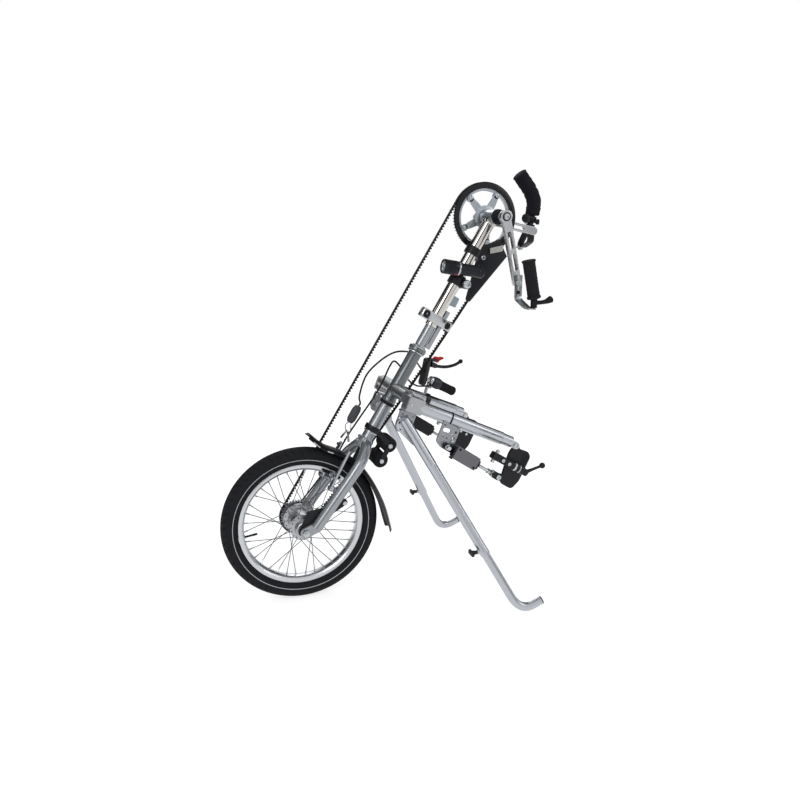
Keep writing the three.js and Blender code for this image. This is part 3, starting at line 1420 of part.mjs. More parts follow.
function rightCrank() {
  const arm = crankArm(crankInner).rotateY(radians(rightTurn));
  const tip = place(crankLength, 0, 0).applyAxisAngle(yAxis, radians(rightTurn));
  const pedalHole = rod(place(tip.x, crankInner - overrun, tip.z), place(tip.x, crankInner + crankThickness + overrun, tip.z),
    handlePinRadius + gap, pinSides);
  const spindle = rod(place(0, -crankInner - crankThickness - overrun, 0), place(0, crankInner + overrun, 0),
    spindleRadius, pinSides);
  const hubStart = shellHalfWidth + cupWidth + 2 * gap;
  const hubForm = rod(place(0, hubStart, 0), place(0, crankInner + overrun, 0), spiderHubRadius, tubeSides);
  const boltHead = rod(place(0, -crankInner - crankThickness - 2 * overrun, 0),
    place(0, -crankInner - crankThickness - gap, 0), crankBoltRadius, pinSides);
  const arms = spiderAngles().map((angle) => sheetXZ(slot([0, 0], [spiderBoltCircle * Math.cos(angle),
    spiderBoltCircle * Math.sin(angle)], spiderArmWidth, spiderPadRadius), spiderNear, spiderThickness));
  const bolts = spiderAngles().map((angle) => {
    const [x, z] = [spiderBoltCircle * Math.cos(angle), spiderBoltCircle * Math.sin(angle)];
    return rod(place(x, spiderNear - overrun, z), place(x, pulleyNear + beltWidth, z), spiderBoltRadius, smallSides);
  });
  return cut(join(spindle, hubForm, arms, bolts, arm, boltHead), pedalHole);
}

// Bent strip that carries the grip, outside the crank's end
function handleBracket(line, face, side) {
  const outline = strip(line.map(([y, z]) => [y - face - handleSheet / 2, z]), handleSheet);
  const bent = sheetYZ(outline, -handleStrip / 2, handleStrip);
  const end = place(0, -face - handleSheet - 2 * overrun, 0);
  const pin = rod(place(0, -face + crankThickness / 2, 0), end, handlePinRadius, pinSides);
  const nut = rod(place(0, -face - overrun, 0), end, handleNutRadius, boltSides);
  return join([bent, pin, nut].map((form) => (side > 0 ? sided(form, -1) : form)));
}

const handleFace = crankInner + crankThickness + gap;

function leftGrip() {
  const foot = place(leftGripFoot[0], leftGripFoot[1] - handleFace, leftGripFoot[2]);
  const head = place(leftGripHead[0], leftGripHead[1] - handleFace, leftGripHead[2]);
  const length = foot.distanceTo(head);
  const direction = head.clone().sub(foot);
  const grip = turned([[0, 0], [leftGripCollar, 0], [leftGripCollar, overrun], [leftGripRadius, 2 * overrun],
    [leftGripRadius, length - 3 * overrun], [leftGripCollar, length - 2 * overrun], [leftGripCollar, length], [0, length]],
  tubeSides, foot, direction);
  const rest = handRest.map(([x, y, z]) => [x, y - handleFace, z]);
  const arm = sweep(smooth(rest, sweepSteps), handRestRadius, smallSides);
  const bulb = ball(place(...rest[rest.length - 1]), handRestBulb);
  const coreFoot = leftHandlePath[leftHandlePath.length - 1][1] + handleSheet / 2 + gap;
  const core = rod(place(foot.x, foot.y, coreFoot), place(foot.x, foot.y, foot.z + overrun), handRestBulb);
  return join(grip, arm, bulb, core);
}

function rightGrip() {
  const shift = ([x, y, z]) => [x, handleFace - y, z];
  const barFoot = rightHandlePath[rightHandlePath.length - 1][1] + handleSheet / 2 + gap;
  const [firstX, firstY] = rightBarPoints[0];
  const points = [[firstX, firstY, barFoot - overrun], ...rightBarPoints].map(shift);
  const bar = sweep(smooth(points, sweepSteps), rightBarRadius, pinSides);
  const grip = sweep(smooth(rightGripPoints.map(shift), sweepSteps), rightGripRadius, pinSides);
  const [x, y, z] = points[0];
  const below = box(place(x - 2 * rightBarRadius, y - 2 * rightBarRadius, z - 2 * rightBarRadius),
    place(x + 2 * rightBarRadius, y + 2 * rightBarRadius, barFoot));
  return cut(join(bar, grip), below);
}

// Controls

function leverBody() {
  const armPoint = armStart.clone().lerp(armTip, (controlPlace - armStart.x) / (armTip.x - armStart.x));
  const direction = armTip.clone().sub(armStart).normalize();
  const foot = armPoint.clone().addScaledVector(direction, -controlRingWidth / 2);
  const inner = armRadius + gap;
  const ring = pipe(foot, foot.clone().addScaledVector(direction, controlRingWidth), inner + controlRingWall, inner);
  const [shifterX, shifterZ] = shifterStart;
  const postBack = shifterX - overrun;
  const post = box(place(postBack - postWidth, controlPost - controlRingWall, armPoint.z + inner),
    place(postBack, controlPost + controlRingWall, shifterZ + postWidth));
  const spindle = rod(place(postBack - overrun, shifterPlace, shifterZ), shifterPoint(shifterStart)
    .addScaledVector(shifterDirection(), shifterBoreDepth - overrun), guidePinRadius);
  const hole = rod(foot.clone().addScaledVector(direction, -controlRingWidth),
    foot.clone().addScaledVector(direction, 2 * controlRingWidth), inner, tubeSides);
  const body = sweep(smooth(leverBodyPoints, leverBodySteps), leverBodyRadius, pinSides);
  const bridge = box(place(leverBodyPoints[0][0], controlPost - controlRingWall, shifterZ - postWidth / 2),
    place(postBack, controlPost + controlRingWall, shifterZ + postWidth / 2));
  const [pivotX, pivotY, pivotZ] = leverPivot;
  const [headX, , headZ] = leverBodyPoints[leverBodyPoints.length - 1];
  const eyes = [-1, 1].flatMap((way) => {
    const from = way > 0 ? pivotY + leverBladeRadius + gap : pivotY - leverBladeRadius - gap - controlRingWall;
    const lever = sheetXZ(slot([headX, pivotZ], [pivotX, pivotZ], leverHubRadius), from, controlRingWall);
    const lock = sheetXZ(slot([headX, headZ - postWidth / 2], lockPlace, leverHubRadius / 2), from, controlRingWall);
    return [lever, lock];
  });
  const half = leverBladeRadius + controlRingWall;
  const pins = [[pivotX, pivotZ], lockPlace]
    .map(([x, z]) => rod(place(x, pivotY - half, z), place(x, pivotY + half, z), lockPinRadius, smallSides));
  return cut(join(ring, post, spindle, body, bridge, eyes, pins), hole);
}

function brakeLever() {
  const [px, py, pz] = leverPivot;
  const hubForm = rod(place(0, -leverBladeRadius, 0), place(0, leverBladeRadius, 0), leverHubRadius, pinSides);
  const points = leverBladePoints.map(([x, y, z]) => [x - px, y - py, z - pz]);
  const blade = sweep(smooth([[0, 0, 0], ...points], sweepSteps), leverBladeRadius, smallSides);
  const knob = ball(place(...points[points.length - 1]), leverBallRadius);
  const boreEnd = place(0, overrun + leverBladeRadius, 0);
  const bore = rod(boreEnd.clone().negate(), boreEnd, lockPinRadius + gap, smallSides);
  return cut(join(hubForm, blade, knob), bore);
}

// Twist shifter: the sleeve on its collar
function shifterPoint([x, z]) {
  return place(x, shifterPlace, z);
}

function shifterDirection() {
  return shifterPoint(shifterEnd).sub(shifterPoint(shifterStart)).normalize();
}

function shifter() {
  const length = shifterPoint(shifterStart).distanceTo(shifterPoint(shifterEnd));
  const collar = length / 3;
  const bore = guidePinRadius + 2 * gap;
  return turned([[bore, 0], [shifterCollarRadius, 0], [shifterCollarRadius, collar], [shifterRadius, collar + overrun],
    [shifterRadius, length - overrun], [shifterRadius - overrun, length], [0, length], [0, shifterBoreDepth],
    [bore, shifterBoreDepth]], tubeSides, place(0, 0, 0), shifterDirection());
}

function parkingLock() {
  return sheetXZ(lockPoints, -lockThickness / 2, lockThickness, [disc(0, 0, lockPinRadius + gap, smallSides)]);
}

// Cables

function cable(points, steps, radius = cableRadius) {
  return sweep(smooth(points, steps), radius, wireSides);
}

// In-line barrel on the brake cable, with the wire and the bent pipe that lead to the brake arms
function cableJunction() {
  const centre = place(...junctionPlace);
  const low = centre.clone().add(place(0, 0, -junctionHalfLength));
  const length = 2 * junctionHalfLength;
  const profile = [[0, 0], [junctionNeckRadius, 0], [junctionRadius, junctionTaper],
    [junctionRadius, length - junctionTaper], [junctionNeckRadius, length], [0, length]];
  const barrel = turned(profile, pinSides, low, zAxis);
  const wire = cable(junctionWirePoints, sweepSteps, junctionWireRadius);
  return join(barrel, wire, cable(noodlePoints, sweepSteps));
}

// Assembly

const handcycle = new THREE.Group();

add(handcycle, 'main_frame', mainFrame(), finishes.frameGrey);
const arms = pivot(handcycle, 'arms_frame', crossCentre, armSlope);
const steering = pivot(handcycle, 'steering_pivot', steeringFoot, steeringTilt);

for (const [side, label] of sides) {
  add(arms, `arm_${label}`, dockingArm(side), finishes.brightMetal);

  const hingeGroup = pivot(arms, `clamp_pivot_${label}`, place(hinge[0], 0, hinge[2]));
  add(hingeGroup, `clamp_plate_${label}`, clampPlate(side), finishes.blackPaint);
  add(hingeGroup, `clamp_bar_${label}`, clampBar(side), finishes.blackPaint);
  const [leverX, leverY, leverZ] = clampLeverPlace();
  const leverGroup = pivot(hingeGroup, `clamp_lever_pivot_${label}`, place(leverX, side * leverY, leverZ));
  add(leverGroup, `clamp_lever_${label}`, clampLever(side), finishes.blackPlastic);

  const linkGroup = pivot(arms, `link_pivot_${label}`, place(linkFrontPivot[0], 0, linkFrontPivot[1]),
    THREE.MathUtils.radToDeg(linkAngle));
  add(linkGroup, `link_box_${label}`, linkBox(side), side < 0 ? finishes.linkGrey : finishes.blackPaint);
  add(linkGroup, `link_rod_${label}`, linkRod(side), finishes.zinc);

  const stand = pivot(handcycle, `stand_pivot_${label}`, standPoint);
  add(stand, `stand_plate_${label}`, standPlate(side), finishes.frameGrey);
  add(stand, `stand_leg_${label}`, standLeg(side), finishes.brightMetal);
  add(stand, `stand_foot_${label}`, standFoot(side), finishes.brightMetal);
  add(stand, `foot_cap_${label}`, footCap(side), finishes.blackRubber);
  const face = knobSocket().face;
  const knobGroup = pivot(stand, `stand_knob_pivot_${label}`, place(face.x, side * face.y, face.z));
  add(knobGroup, `stand_knob_${label}`, standKnob(side), finishes.blackPlastic);
}

add(steering, 'fork', fork(), finishes.forkGrey);
add(steering, 'mudguard', mudguard(), finishes.blackPlastic);
add(steering, 'torque_arm', sided(toGeometry(torqueArm()), -1), finishes.blackPaint);
add(steering, 'idler_bracket', idlerBracket(), finishes.satinMetal);
add(steering, 'idler_upper', idler(idlerPlaces[0]), finishes.blackRubber);
add(steering, 'idler_lower', idler(idlerPlaces[1]), finishes.blackRubber);
add(steering, 'brake_arm_left', sided(toGeometry(brakeArm()), -1), finishes.satinMetal);
add(steering, 'brake_arm_right', brakeArm(), finishes.satinMetal);
add(steering, 'belt', beltBody(), finishes.blackRubber);

const axle = pivot(steering, 'axle_pivot', place(-forkOffset, 0, 0));
const wheel = pivot(axle, 'wheel_pivot', place(0, 0, 0), groundedTurn * 360 / wheelSegments - steeringTilt);
add(wheel, 'tyre', tyre(), finishes.tyreRubber);
add(wheel, 'rim', rim(), finishes.brightMetal);
add(wheel, 'hub', hub(), finishes.satinMetal);
add(axle, 'hub_sprocket', hubSprocket(), finishes.satinMetal);
add(axle, 'wheel_axle', wheelAxle(), finishes.zinc);

add(steering, 'column', column(), finishes.chrome);
add(steering, 'height_clamp', heightClamp(), finishes.satinMetal);
add(steering, 'clamp_bolt', clampBolt(), finishes.blackPaint);
add(steering, 'ring_clamp', ringClamp(), finishes.blackPaint);
add(steering, 'headlamp_mount', lampMount(), finishes.blackPlastic);
add(steering, 'headlamp', headlamp(), finishes.blackPlastic);
add(steering, 'belt_guard', beltGuard(), finishes.blackPlastic);
add(steering, 'cable_junction', cableJunction(), finishes.greyPlastic);
add(steering, 'brake_cable', cable(brakeCablePoints, brakeCableSteps), finishes.blackRubber);
add(steering, 'shift_cable', cable(shiftCablePoints, shiftCableSteps), finishes.blackRubber);

const crank = pivot(steering, 'crank_pivot', place(0, 0, crankAlong));
add(crank, 'bottom_bracket', bottomBracket(), finishes.blackPaint);
add(crank, 'drive_pulley', drivePulley(), finishes.brightMetal);
add(crank, 'pulley_guard', pulleyGuard(), finishes.blackPlastic);
add(crank, 'crank_right', rightCrank(), finishes.satinMetal);
const leftArm = pivot(crank, 'left_crank_turn', place(0, 0, 0), leftTurn);
add(leftArm, 'crank_left', leftCrank(), finishes.brightMetal);
const leftEnd = place(crankLength, 0, 0).applyAxisAngle(yAxis, radians(leftTurn));
const rightEnd = place(crankLength, 0, 0).applyAxisAngle(yAxis, radians(rightTurn));
const leftHandle = pivot(crank, 'handle_pivot_left', leftEnd, -steeringTilt);
add(leftHandle, 'handle_bracket_left', handleBracket(leftHandlePath, handleFace, -1), finishes.zinc);
add(leftHandle, 'grip_left', leftGrip(), finishes.blackRubber);
const rightHandle = pivot(crank, 'handle_pivot_right', rightEnd, -steeringTilt);
add(rightHandle, 'handle_bracket_right', handleBracket(rightHandlePath, handleFace, 1), finishes.zinc);
add(rightHandle, 'grip_right', rightGrip(), finishes.foam);

const control = pivot(arms, 'lever_pivot', place(...leverPivot));
add(arms, 'lever_body', leverBody(), finishes.blackPlastic);
add(control, 'brake_lever', brakeLever(), finishes.blackPaint);
const lockPivot = pivot(arms, 'lock_pivot', place(lockPlace[0], controlPost, lockPlace[1]));
add(lockPivot, 'parking_lock', parkingLock(), finishes.redPlastic);
const twist = pivot(arms, 'shifter_pivot', shifterPoint(shifterStart));
add(twist, 'shifter', shifter(), finishes.blackPlastic);

// The frame's origin is the middle of the base
handcycle.updateMatrixWorld(true);
const bounds = new THREE.Box3().setFromObject(handcycle, true);
const middle = bounds.getCenter(new THREE.Vector3());
handcycle.position.set(-middle.x, -middle.y, -bounds.min.z);
handcycle.updateMatrixWorld(true);

export default handcycle;
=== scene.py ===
import json
import math
import bpy
import bmesh
from mathutils import Matrix, Vector

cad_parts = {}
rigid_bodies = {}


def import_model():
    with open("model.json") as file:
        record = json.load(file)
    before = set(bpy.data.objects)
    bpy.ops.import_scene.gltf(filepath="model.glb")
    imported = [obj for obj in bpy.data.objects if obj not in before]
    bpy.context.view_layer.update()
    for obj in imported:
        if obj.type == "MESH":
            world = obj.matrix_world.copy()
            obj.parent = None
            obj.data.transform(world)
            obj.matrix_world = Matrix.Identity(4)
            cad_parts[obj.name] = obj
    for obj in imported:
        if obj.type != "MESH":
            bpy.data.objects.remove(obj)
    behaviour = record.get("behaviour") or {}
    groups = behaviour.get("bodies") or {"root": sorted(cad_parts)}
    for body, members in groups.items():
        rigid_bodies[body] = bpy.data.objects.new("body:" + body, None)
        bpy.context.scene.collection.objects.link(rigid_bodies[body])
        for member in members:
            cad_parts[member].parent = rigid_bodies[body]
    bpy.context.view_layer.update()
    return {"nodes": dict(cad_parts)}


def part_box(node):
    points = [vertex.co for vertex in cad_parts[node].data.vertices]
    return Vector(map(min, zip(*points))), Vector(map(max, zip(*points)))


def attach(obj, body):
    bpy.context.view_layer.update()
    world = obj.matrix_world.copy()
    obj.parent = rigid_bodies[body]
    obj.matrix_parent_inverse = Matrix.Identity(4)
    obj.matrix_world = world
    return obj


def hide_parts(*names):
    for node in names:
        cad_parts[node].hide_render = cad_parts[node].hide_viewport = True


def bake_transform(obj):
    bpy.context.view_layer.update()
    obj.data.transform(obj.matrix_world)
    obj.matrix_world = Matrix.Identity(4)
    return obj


for old in list(bpy.data.objects):
    bpy.data.objects.remove(old)
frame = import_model()

# Tyre
# The tyre is a road tyre with shoulder blocks and a thin reflecting ring on each sidewall. Its section
# is a circle round the rim, swept round the axle with the grooves pressed into it.

MM = 0.001


def linear(code):
    """Turns an sRGB hex value such as "c9cbcf" into the linear colour that the nodes take."""
    channels = [int(code[i:i + 2], 16) / 255 for i in (0, 2, 4)]
    return [c / 12.92 if c <= 0.04045 else ((c + 0.055) / 1.055) ** 2.4 for c in channels] + [1.0]


def add_node(tree, kind, links=None, values=None, **settings):
    """Adds a node with its settings, its input values and its incoming links."""
    node = tree.nodes.new(kind)
    for name, value in settings.items():
        setattr(node, name, value)
    for name, value in (values or {}).items():
        node.inputs[name].default_value = value
    for name, source in (links or {}).items():
        tree.links.new(source, node.inputs[name])
    return node


def grain(tree, width, stretch=(1, 1, 1), detail=3.0):
    """A pattern whose features are about width millimetres wide, longer along the stretched axes."""
    coordinates = add_node(tree, "ShaderNodeTexCoord")
    scale = [1 / (width * MM * s) for s in stretch]
    mapping = add_node(tree, "ShaderNodeMapping", {"Vector": coordinates.outputs["Object"]},
                       {"Scale": scale})
    return add_node(tree, "ShaderNodeTexNoise", {"Vector": mapping.outputs["Vector"]},
                    {"Scale": 1.0, "Detail": detail})


def spread(tree, source, low, high):
    """A pattern's value moved to a range."""
    node = add_node(tree, "ShaderNodeMapRange", {"Value": source}, {"To Min": low, "To Max": high})
    return node.outputs["Result"]


BROAD_TIMES = 12
METAL_SPECULAR = 0.5
OTHER_SPECULAR = 0.28


def finish(name, slot, colour, roughness, metallic=0.0, grain_mm=0.5, stretch=(1, 1, 1), shade=0.05,
           gloss=0.05, relief_mm=0.004, coat=0.0, worn=0.0):
    """A finish whose fine grain shifts its colour by shade and raises it by relief_mm.

    A broader pattern shifts its roughness by gloss, and worn is how much dust it carries.
    """
    material = bpy.data.materials.new(name)
    material["slot"] = slot
    material.use_nodes = True
    tree = material.node_tree
    shader = tree.nodes["Principled BSDF"]
    fine = grain(tree, grain_mm, stretch)
    broad = grain(tree, BROAD_TIMES * grain_mm, detail=2.0)
    base = linear(colour)
    dark = [c * (1 - shade) for c in base[:3]] + [1.0]
    light = [min(1.0, c * (1 + shade)) for c in base[:3]] + [1.0]
    blend = add_node(tree, "ShaderNodeMix", {"Factor": fine.outputs["Fac"]}, data_type="RGBA")
    blend.inputs["A"].default_value = dark
    blend.inputs["B"].default_value = light
    tint = blend.outputs["Result"]
    if worn:
        dust = add_node(tree, "ShaderNodeMix",
                        {"Factor": spread(tree, broad.outputs["Fac"], 0, worn), "A": tint},
                        data_type="RGBA")
        dust.inputs["B"].default_value = light
        tint = dust.outputs["Result"]
    tree.links.new(tint, shader.inputs["Base Color"])
    tree.links.new(spread(tree, broad.outputs["Fac"], roughness - gloss, roughness + gloss),
                   shader.inputs["Roughness"])
    bump = add_node(tree, "ShaderNodeBump", {"Height": fine.outputs["Fac"]},
                    {"Strength": 1.0, "Distance": relief_mm * MM})
    tree.links.new(bump.outputs["Normal"], shader.inputs["Normal"])
    shader.inputs["Metallic"].default_value = metallic
    shader.inputs["Specular IOR Level"].default_value = METAL_SPECULAR if metallic else OTHER_SPECULAR
    shader.inputs["Coat Weight"].default_value = coat
    return material


# Moulded tyre rubber is nearly black and matt, and dust lightens its high places.
tyre_rubber = finish("tyre rubber, black", "tyre_rubber", "15161b", roughness=0.8, grain_mm=0.8,
                     shade=0.18, relief_mm=0.05, worn=0.3)


def frame_at(x, z, turn=0.0):
    """The frame whose origin is at x, 0, z in metres and that is turned about Y by degrees."""
    move = Matrix.Translation((x, 0, z)) @ Matrix.Rotation(math.radians(turn), 4, "Y")
    return move @ Matrix.Scale(MM, 4)


def middle(name):
    """The middle of a node's box, in metres."""
    low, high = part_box(name)
    return (low + high) / 2


axle_middle = middle("tyre")

HARD_ANGLE = 32


def round_off(obj, width):
    """Rounds the hard edges of an object by a width in mm."""
    modifier = obj.modifiers.new("bevel", "BEVEL")
    modifier.width = width * MM
    modifier.segments = 2
    modifier.limit_method = "ANGLE"
    modifier.angle_limit = math.radians(HARD_ANGLE)


def keep_edges(obj, angle):
    """Shades an object smooth but for the edges that bend by more than an angle."""
    obj.data.shade_smooth()
    split = obj.modifiers.new("split", "EDGE_SPLIT")
    split.split_angle = math.radians(angle)


def piece(name, shape, material, body, replaces=(), bevel=0.0, angle=36):
    """Adds a mesh of the object that rides on a body."""
    corners, faces = shape
    mesh = bpy.data.meshes.new(name)
    mesh.from_pydata([tuple(c) for c in corners], [], faces)
    made = bmesh.new()
    made.from_mesh(mesh)
    bmesh.ops.recalc_face_normals(made, faces=made.faces)
    made.to_mesh(mesh)
    made.free()
    mesh.materials.append(material)
    obj = bpy.data.objects.new(name, mesh)
    bpy.context.scene.collection.objects.link(obj)
    if bevel:
        round_off(obj, bevel)
    keep_edges(obj, angle)
    if body:
        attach(obj, body)
    if replaces:
        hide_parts(*replaces)
    return obj


def rings(loops, closed=False, capped=True):
    """Skin between loops of corners, with its ends closed by a face each."""
    count = len(loops[0])
    corners = [c for loop in loops for c in loop]
    faces = []
    for i in range(len(loops) if closed else len(loops) - 1):
        here, there = i * count, (i + 1) % len(loops) * count
        for j in range(count):
            after = (j + 1) % count
            faces.append((here + j, here + after, there + after, there + j))
    if capped and not closed:
        faces.append(tuple(reversed(range(count))))
        faces.append(tuple(range((len(loops) - 1) * count, len(loops) * count)))
    return corners, faces


def lathe(frame_matrix, foot, axis, profile, sides=48, closed=False):
    """A profile of radius and distance along an axis, turned round it."""
    axis = Vector(axis).normalized()
    across = axis.orthogonal().normalized()
    up = axis.cross(across)
    loops = []
    for radius, along in profile:
        radius = max(radius, 0.01)
        centre = Vector(foot) + axis * along
        loops.append([frame_matrix @ (centre + radius * (math.cos(a) * across + math.sin(a) * up))
                      for a in (2 * math.pi * k / sides for k in range(sides))])
    return rings(loops, closed, not closed)


SIDES = ((-1, "left"), (1, "right"))
# The middle of the tyre's round section lies this far from the axle, in mm.
TYRE_CENTRE = 176.5
TYRE_SECTION = 23.5
# WHEEL_FRAME lies on the axle.
WHEEL_FRAME = frame_at(axle_middle.x, axle_middle.z)

TREAD_BLOCKS = 62
RIB_CUT = 1.3
SHOULDER_CUT = 1.6
MIDDLE_CUT = 1.1


def groove(turn, angle):
    """How deep the tread is cut at a turn round the wheel and an angle round the section, in degrees."""
    off = abs(angle)
    side = 1 if angle > 0 else -1
    depth = 0.0
    if 12 < off < 15 or 34 < off < 36:
        depth = RIB_CUT
    if 36 <= off < 62:
        phase = (turn / 360 * TREAD_BLOCKS + side * 0.25 + (off - 36) * 0.012) % 1
        if phase < 0.2:
            depth = SHOULDER_CUT
    if 15 <= off <= 34:
        phase = (turn / 360 * TREAD_BLOCKS + side * 0.1 - (off - 15) * 0.02) % 1
        if phase < 0.12:
            depth = MIDDLE_CUT
    return depth


section = [-138 + 2.0 * i for i in range(139)]
section = [a for a in section if abs(a) > 64 and int(abs(a)) % 6 == 0 or abs(a) <= 64]
tyre_loops = []
TYRE_STEPS = 620
for step in range(TYRE_STEPS):
    turn = 360 * step / TYRE_STEPS
    a = math.radians(turn)
    loop = []
    for angle in section:
        reach = TYRE_SECTION - groove(turn, angle)
        radial = TYRE_CENTRE + reach * math.cos(math.radians(angle))
        spot = Vector((radial * math.cos(a), reach * math.sin(math.radians(angle)), radial * math.sin(a)))
        loop.append(WHEEL_FRAME @ spot)
    tyre_loops.append(loop)
piece("tyre_tread", rings(tyre_loops, closed=True), tyre_rubber, "wheel", ["tyre"], angle=30)
# Reflecting tape shows as an even, pale line. The same pale finish paints highlights along the mudguard's
# edges.
tape_and_highlight_finish = finish("reflecting tape and painted highlight, silver white", "satin_aluminium", "c9ccd0", roughness=0.35,
                   grain_mm=0.3, gloss=0.03, relief_mm=0.01)
for side, label in SIDES:
    profile = [(TYRE_CENTRE + (TYRE_SECTION + lift) * math.cos(math.radians(a)),
                side * (TYRE_SECTION + lift) * math.sin(math.radians(a)))
               for a, lift in ((98, -0.3), (98, 0.12), (102, 0.12), (102, -0.3))]
    piece("sidewall_ring_" + label, lathe(WHEEL_FRAME, (0, 0, 0), (0, 1, 0), profile, 160, True),
          tape_and_highlight_finish, "wheel")

# Rim, spokes and hub
# The rim is an extruded aluminium double-wall rim with brake tracks. The stainless spokes cross two
# others each and end in plated nipples, and the hub shell is cast aluminium. The valve points inward.

# Brushed and anodised aluminium has a fine grain and broad, soft reflections.
bright_metal = finish("brushed aluminium, clear anodised", "bright_aluminium", "c8cacd", roughness=0.3,
                      metallic=1.0, grain_mm=0.8, stretch=(6, 1, 1), gloss=0.06)
# Cast aluminium is pale and even, and its reflections are blurred.
satin_metal = finish("cast aluminium, satin", "satin_aluminium", "b3b5b8", roughness=0.42, metallic=1.0,
                     grain_mm=1.0, shade=0.06, gloss=0.06, relief_mm=0.01)
# Zinc plating is bright and slightly cool, with soft reflections.
zinc = finish("zinc-plated steel, bright", "zinc", "b9bec0", roughness=0.3, metallic=1.0, grain_mm=2.0,
              gloss=0.06, relief_mm=0.006)
# Moulded rubber is black and matt.
black_rubber = finish("rubber, black", "black_rubber", "131318", roughness=0.72, grain_mm=0.6, shade=0.15,
                      gloss=0.06, relief_mm=0.03)


def joined(*shapes):
    """Several shapes as one."""
    corners, faces = [], []
    for more_corners, more_faces in shapes:
        shift = len(corners)
        corners += list(more_corners)
        faces += [tuple(i + shift for i in face) for face in more_faces]
    return corners, faces


def tube(frame_matrix, line, radius, sides=20, squash=1.0):
    """A round bar along a line. The radius may be a list, one for each point."""
    line = [Vector(p) for p in line]
    radii = radius if isinstance(radius, (list, tuple)) else [radius] * len(line)
    across = Vector((0, 1, 0))
    loops = []
    for i, point in enumerate(line):
        ahead = (line[min(i + 1, len(line) - 1)] - line[max(i - 1, 0)]).normalized()
        across = (across - across.dot(ahead) * ahead)
        if across.length < 1e-6:
            across = ahead.orthogonal()
        across.normalize()
        up = ahead.cross(across)
        loops.append([frame_matrix @ (point
                                      + radii[i] * (math.cos(a) * across + squash * math.sin(a) * up))
                      for a in (2 * math.pi * k / sides for k in range(sides))])
    return rings(loops)


rim_profile = [(158.1, 14.7), (158.1, 12.6), (154.6, 12.0), (151.5, 7.6), (150.6, 0), (151.5, -7.6),
               (154.6, -12.0), (158.1, -12.6), (158.1, -14.7), (157.4, -15), (149.6, -14.9),
               (149.2, -14.5), (146.6, -13.2), (143.4, -8.6), (142.8, 0), (143.4, 8.6), (146.6, 13.2),
               (149.2, 14.5), (149.6, 14.9), (157.4, 15)]
spoke_shapes = []
nipple_shapes = []
FLANGES = ((32, 34, -1), (29, 40, 1))
SPOKES_A_SIDE = 18
NIPPLE_SEAT = 141.5
LACE_TURN = 40
LACE_OFFSET = 2.4
WHEEL_TURN = math.radians(-27)
for flange_place, flange_radius, side in FLANGES:
    for i in range(SPOKES_A_SIDE):
        rim_angle = math.radians(360 / SPOKES_A_SIDE * (i + (0.5 if side > 0 else 0))) + WHEEL_TURN
        hub_angle = rim_angle + math.radians(LACE_TURN if i % 2 else -LACE_TURN)
        lace = LACE_OFFSET if i % 2 else -LACE_OFFSET
        hole_reach = flange_radius - 3.5
        inner = Vector((hole_reach * math.cos(hub_angle), side * flange_place + lace,
                        hole_reach * math.sin(hub_angle)))
        outer = Vector((NIPPLE_SEAT * math.cos(rim_angle), side * 2.0, NIPPLE_SEAT * math.sin(rim_angle)))
        spoke_shapes.append(tube(WHEEL_FRAME, [inner, outer], 1.0, 8))
        head = Vector((hole_reach * math.cos(hub_angle), side * flange_place,
                       hole_reach * math.sin(hub_angle)))
        spoke_shapes.append(lathe(WHEEL_FRAME, head - Vector((0, 1.5 * lace, 0)), (0, lace, 0),
                                  [(1.8, 0), (1.8, 1.0), (1.0, 1.4), (1.0, 2.4 * 2)], 8))
        back = (inner - outer).normalized()
        nipple_shapes.append(lathe(WHEEL_FRAME, outer - back * 2.0, back, [(2.0, 0), (2.0, 9), (1.5, 12)],
                                   8))
# Drawn stainless wire is darker than plated steel, with thin streaks of light.
stainless = finish("stainless spoke steel", "zinc", "6c6e73", roughness=0.34, metallic=1.0, grain_mm=1.0,
                   relief_mm=0.002)
piece("spokes", joined(*spoke_shapes), stainless, "wheel")
piece("nipples", joined(*nipple_shapes), zinc, "wheel")
rim_shape = lathe(WHEEL_FRAME, (0, 0, 0), (0, 1, 0), rim_profile, 144, True)
piece("rim_extrusion", rim_shape, bright_metal, "wheel", ["rim"])
valve_turn = math.radians(188)
valve_out = Vector((math.cos(valve_turn), 0, math.sin(valve_turn)))
piece("valve",
      lathe(WHEEL_FRAME, valve_out * 145, -valve_out,
            [(4.5, 0), (4.5, 3), (2.6, 3.4), (2.6, 22), (2.9, 22.2), (2.9, 31), (1.6, 34)], 16),
      black_rubber, "wheel")
hub_profile = [(6, -54), (19, -54), (21, -52.5), (22.5, -48), (23, -36), (26, -34.6), (33, -34),
               (34, -33.4), (34, -30.6), (33, -30), (28, -29), (29.5, -20), (30, -6), (29.5, 12),
               (30, 24), (38, 26.6), (40, 27.6), (40, 30.4), (39, 31), (29, 32), (26, 38), (23, 42),
               (6, 42)]
piece("hub_shell", lathe(WHEEL_FRAME, (0, 0, 0), (0, 1, 0), hub_profile, 64), satin_metal, "wheel",
      ["hub"], angle=28)
# The axle and a few small parts show as the source made them.
NODE_BEVEL = 0.5
WELD_GAP = 0.001 * MM


def dress(node_name, material):
    """Gives a node that stays as the source made it a finish, round edges and smooth round sides."""
    node_object = frame["nodes"][node_name]
    for slot in node_object.material_slots:
        slot.link = "OBJECT"
        slot.material = material
    mesh = node_object.data
    if "custom_normal" in mesh.attributes:
        mesh.attributes.remove(mesh.attributes["custom_normal"])
    for edge in mesh.edges:
        edge.use_edge_sharp = False
    weld = node_object.modifiers.new("weld", "WELD")
    weld.merge_threshold = WELD_GAP
    round_off(node_object, NODE_BEVEL)
    keep_edges(node_object, HARD_ANGLE + 4)


dress("wheel_axle", zinc)

# Belt drive
# The belt is a reinforced rubber toothed belt with an 8 mm pitch. It runs from the pulley on the cranks
# past two idlers to the sprocket on the hub; its teeth and theirs are cut to the same pitch line.

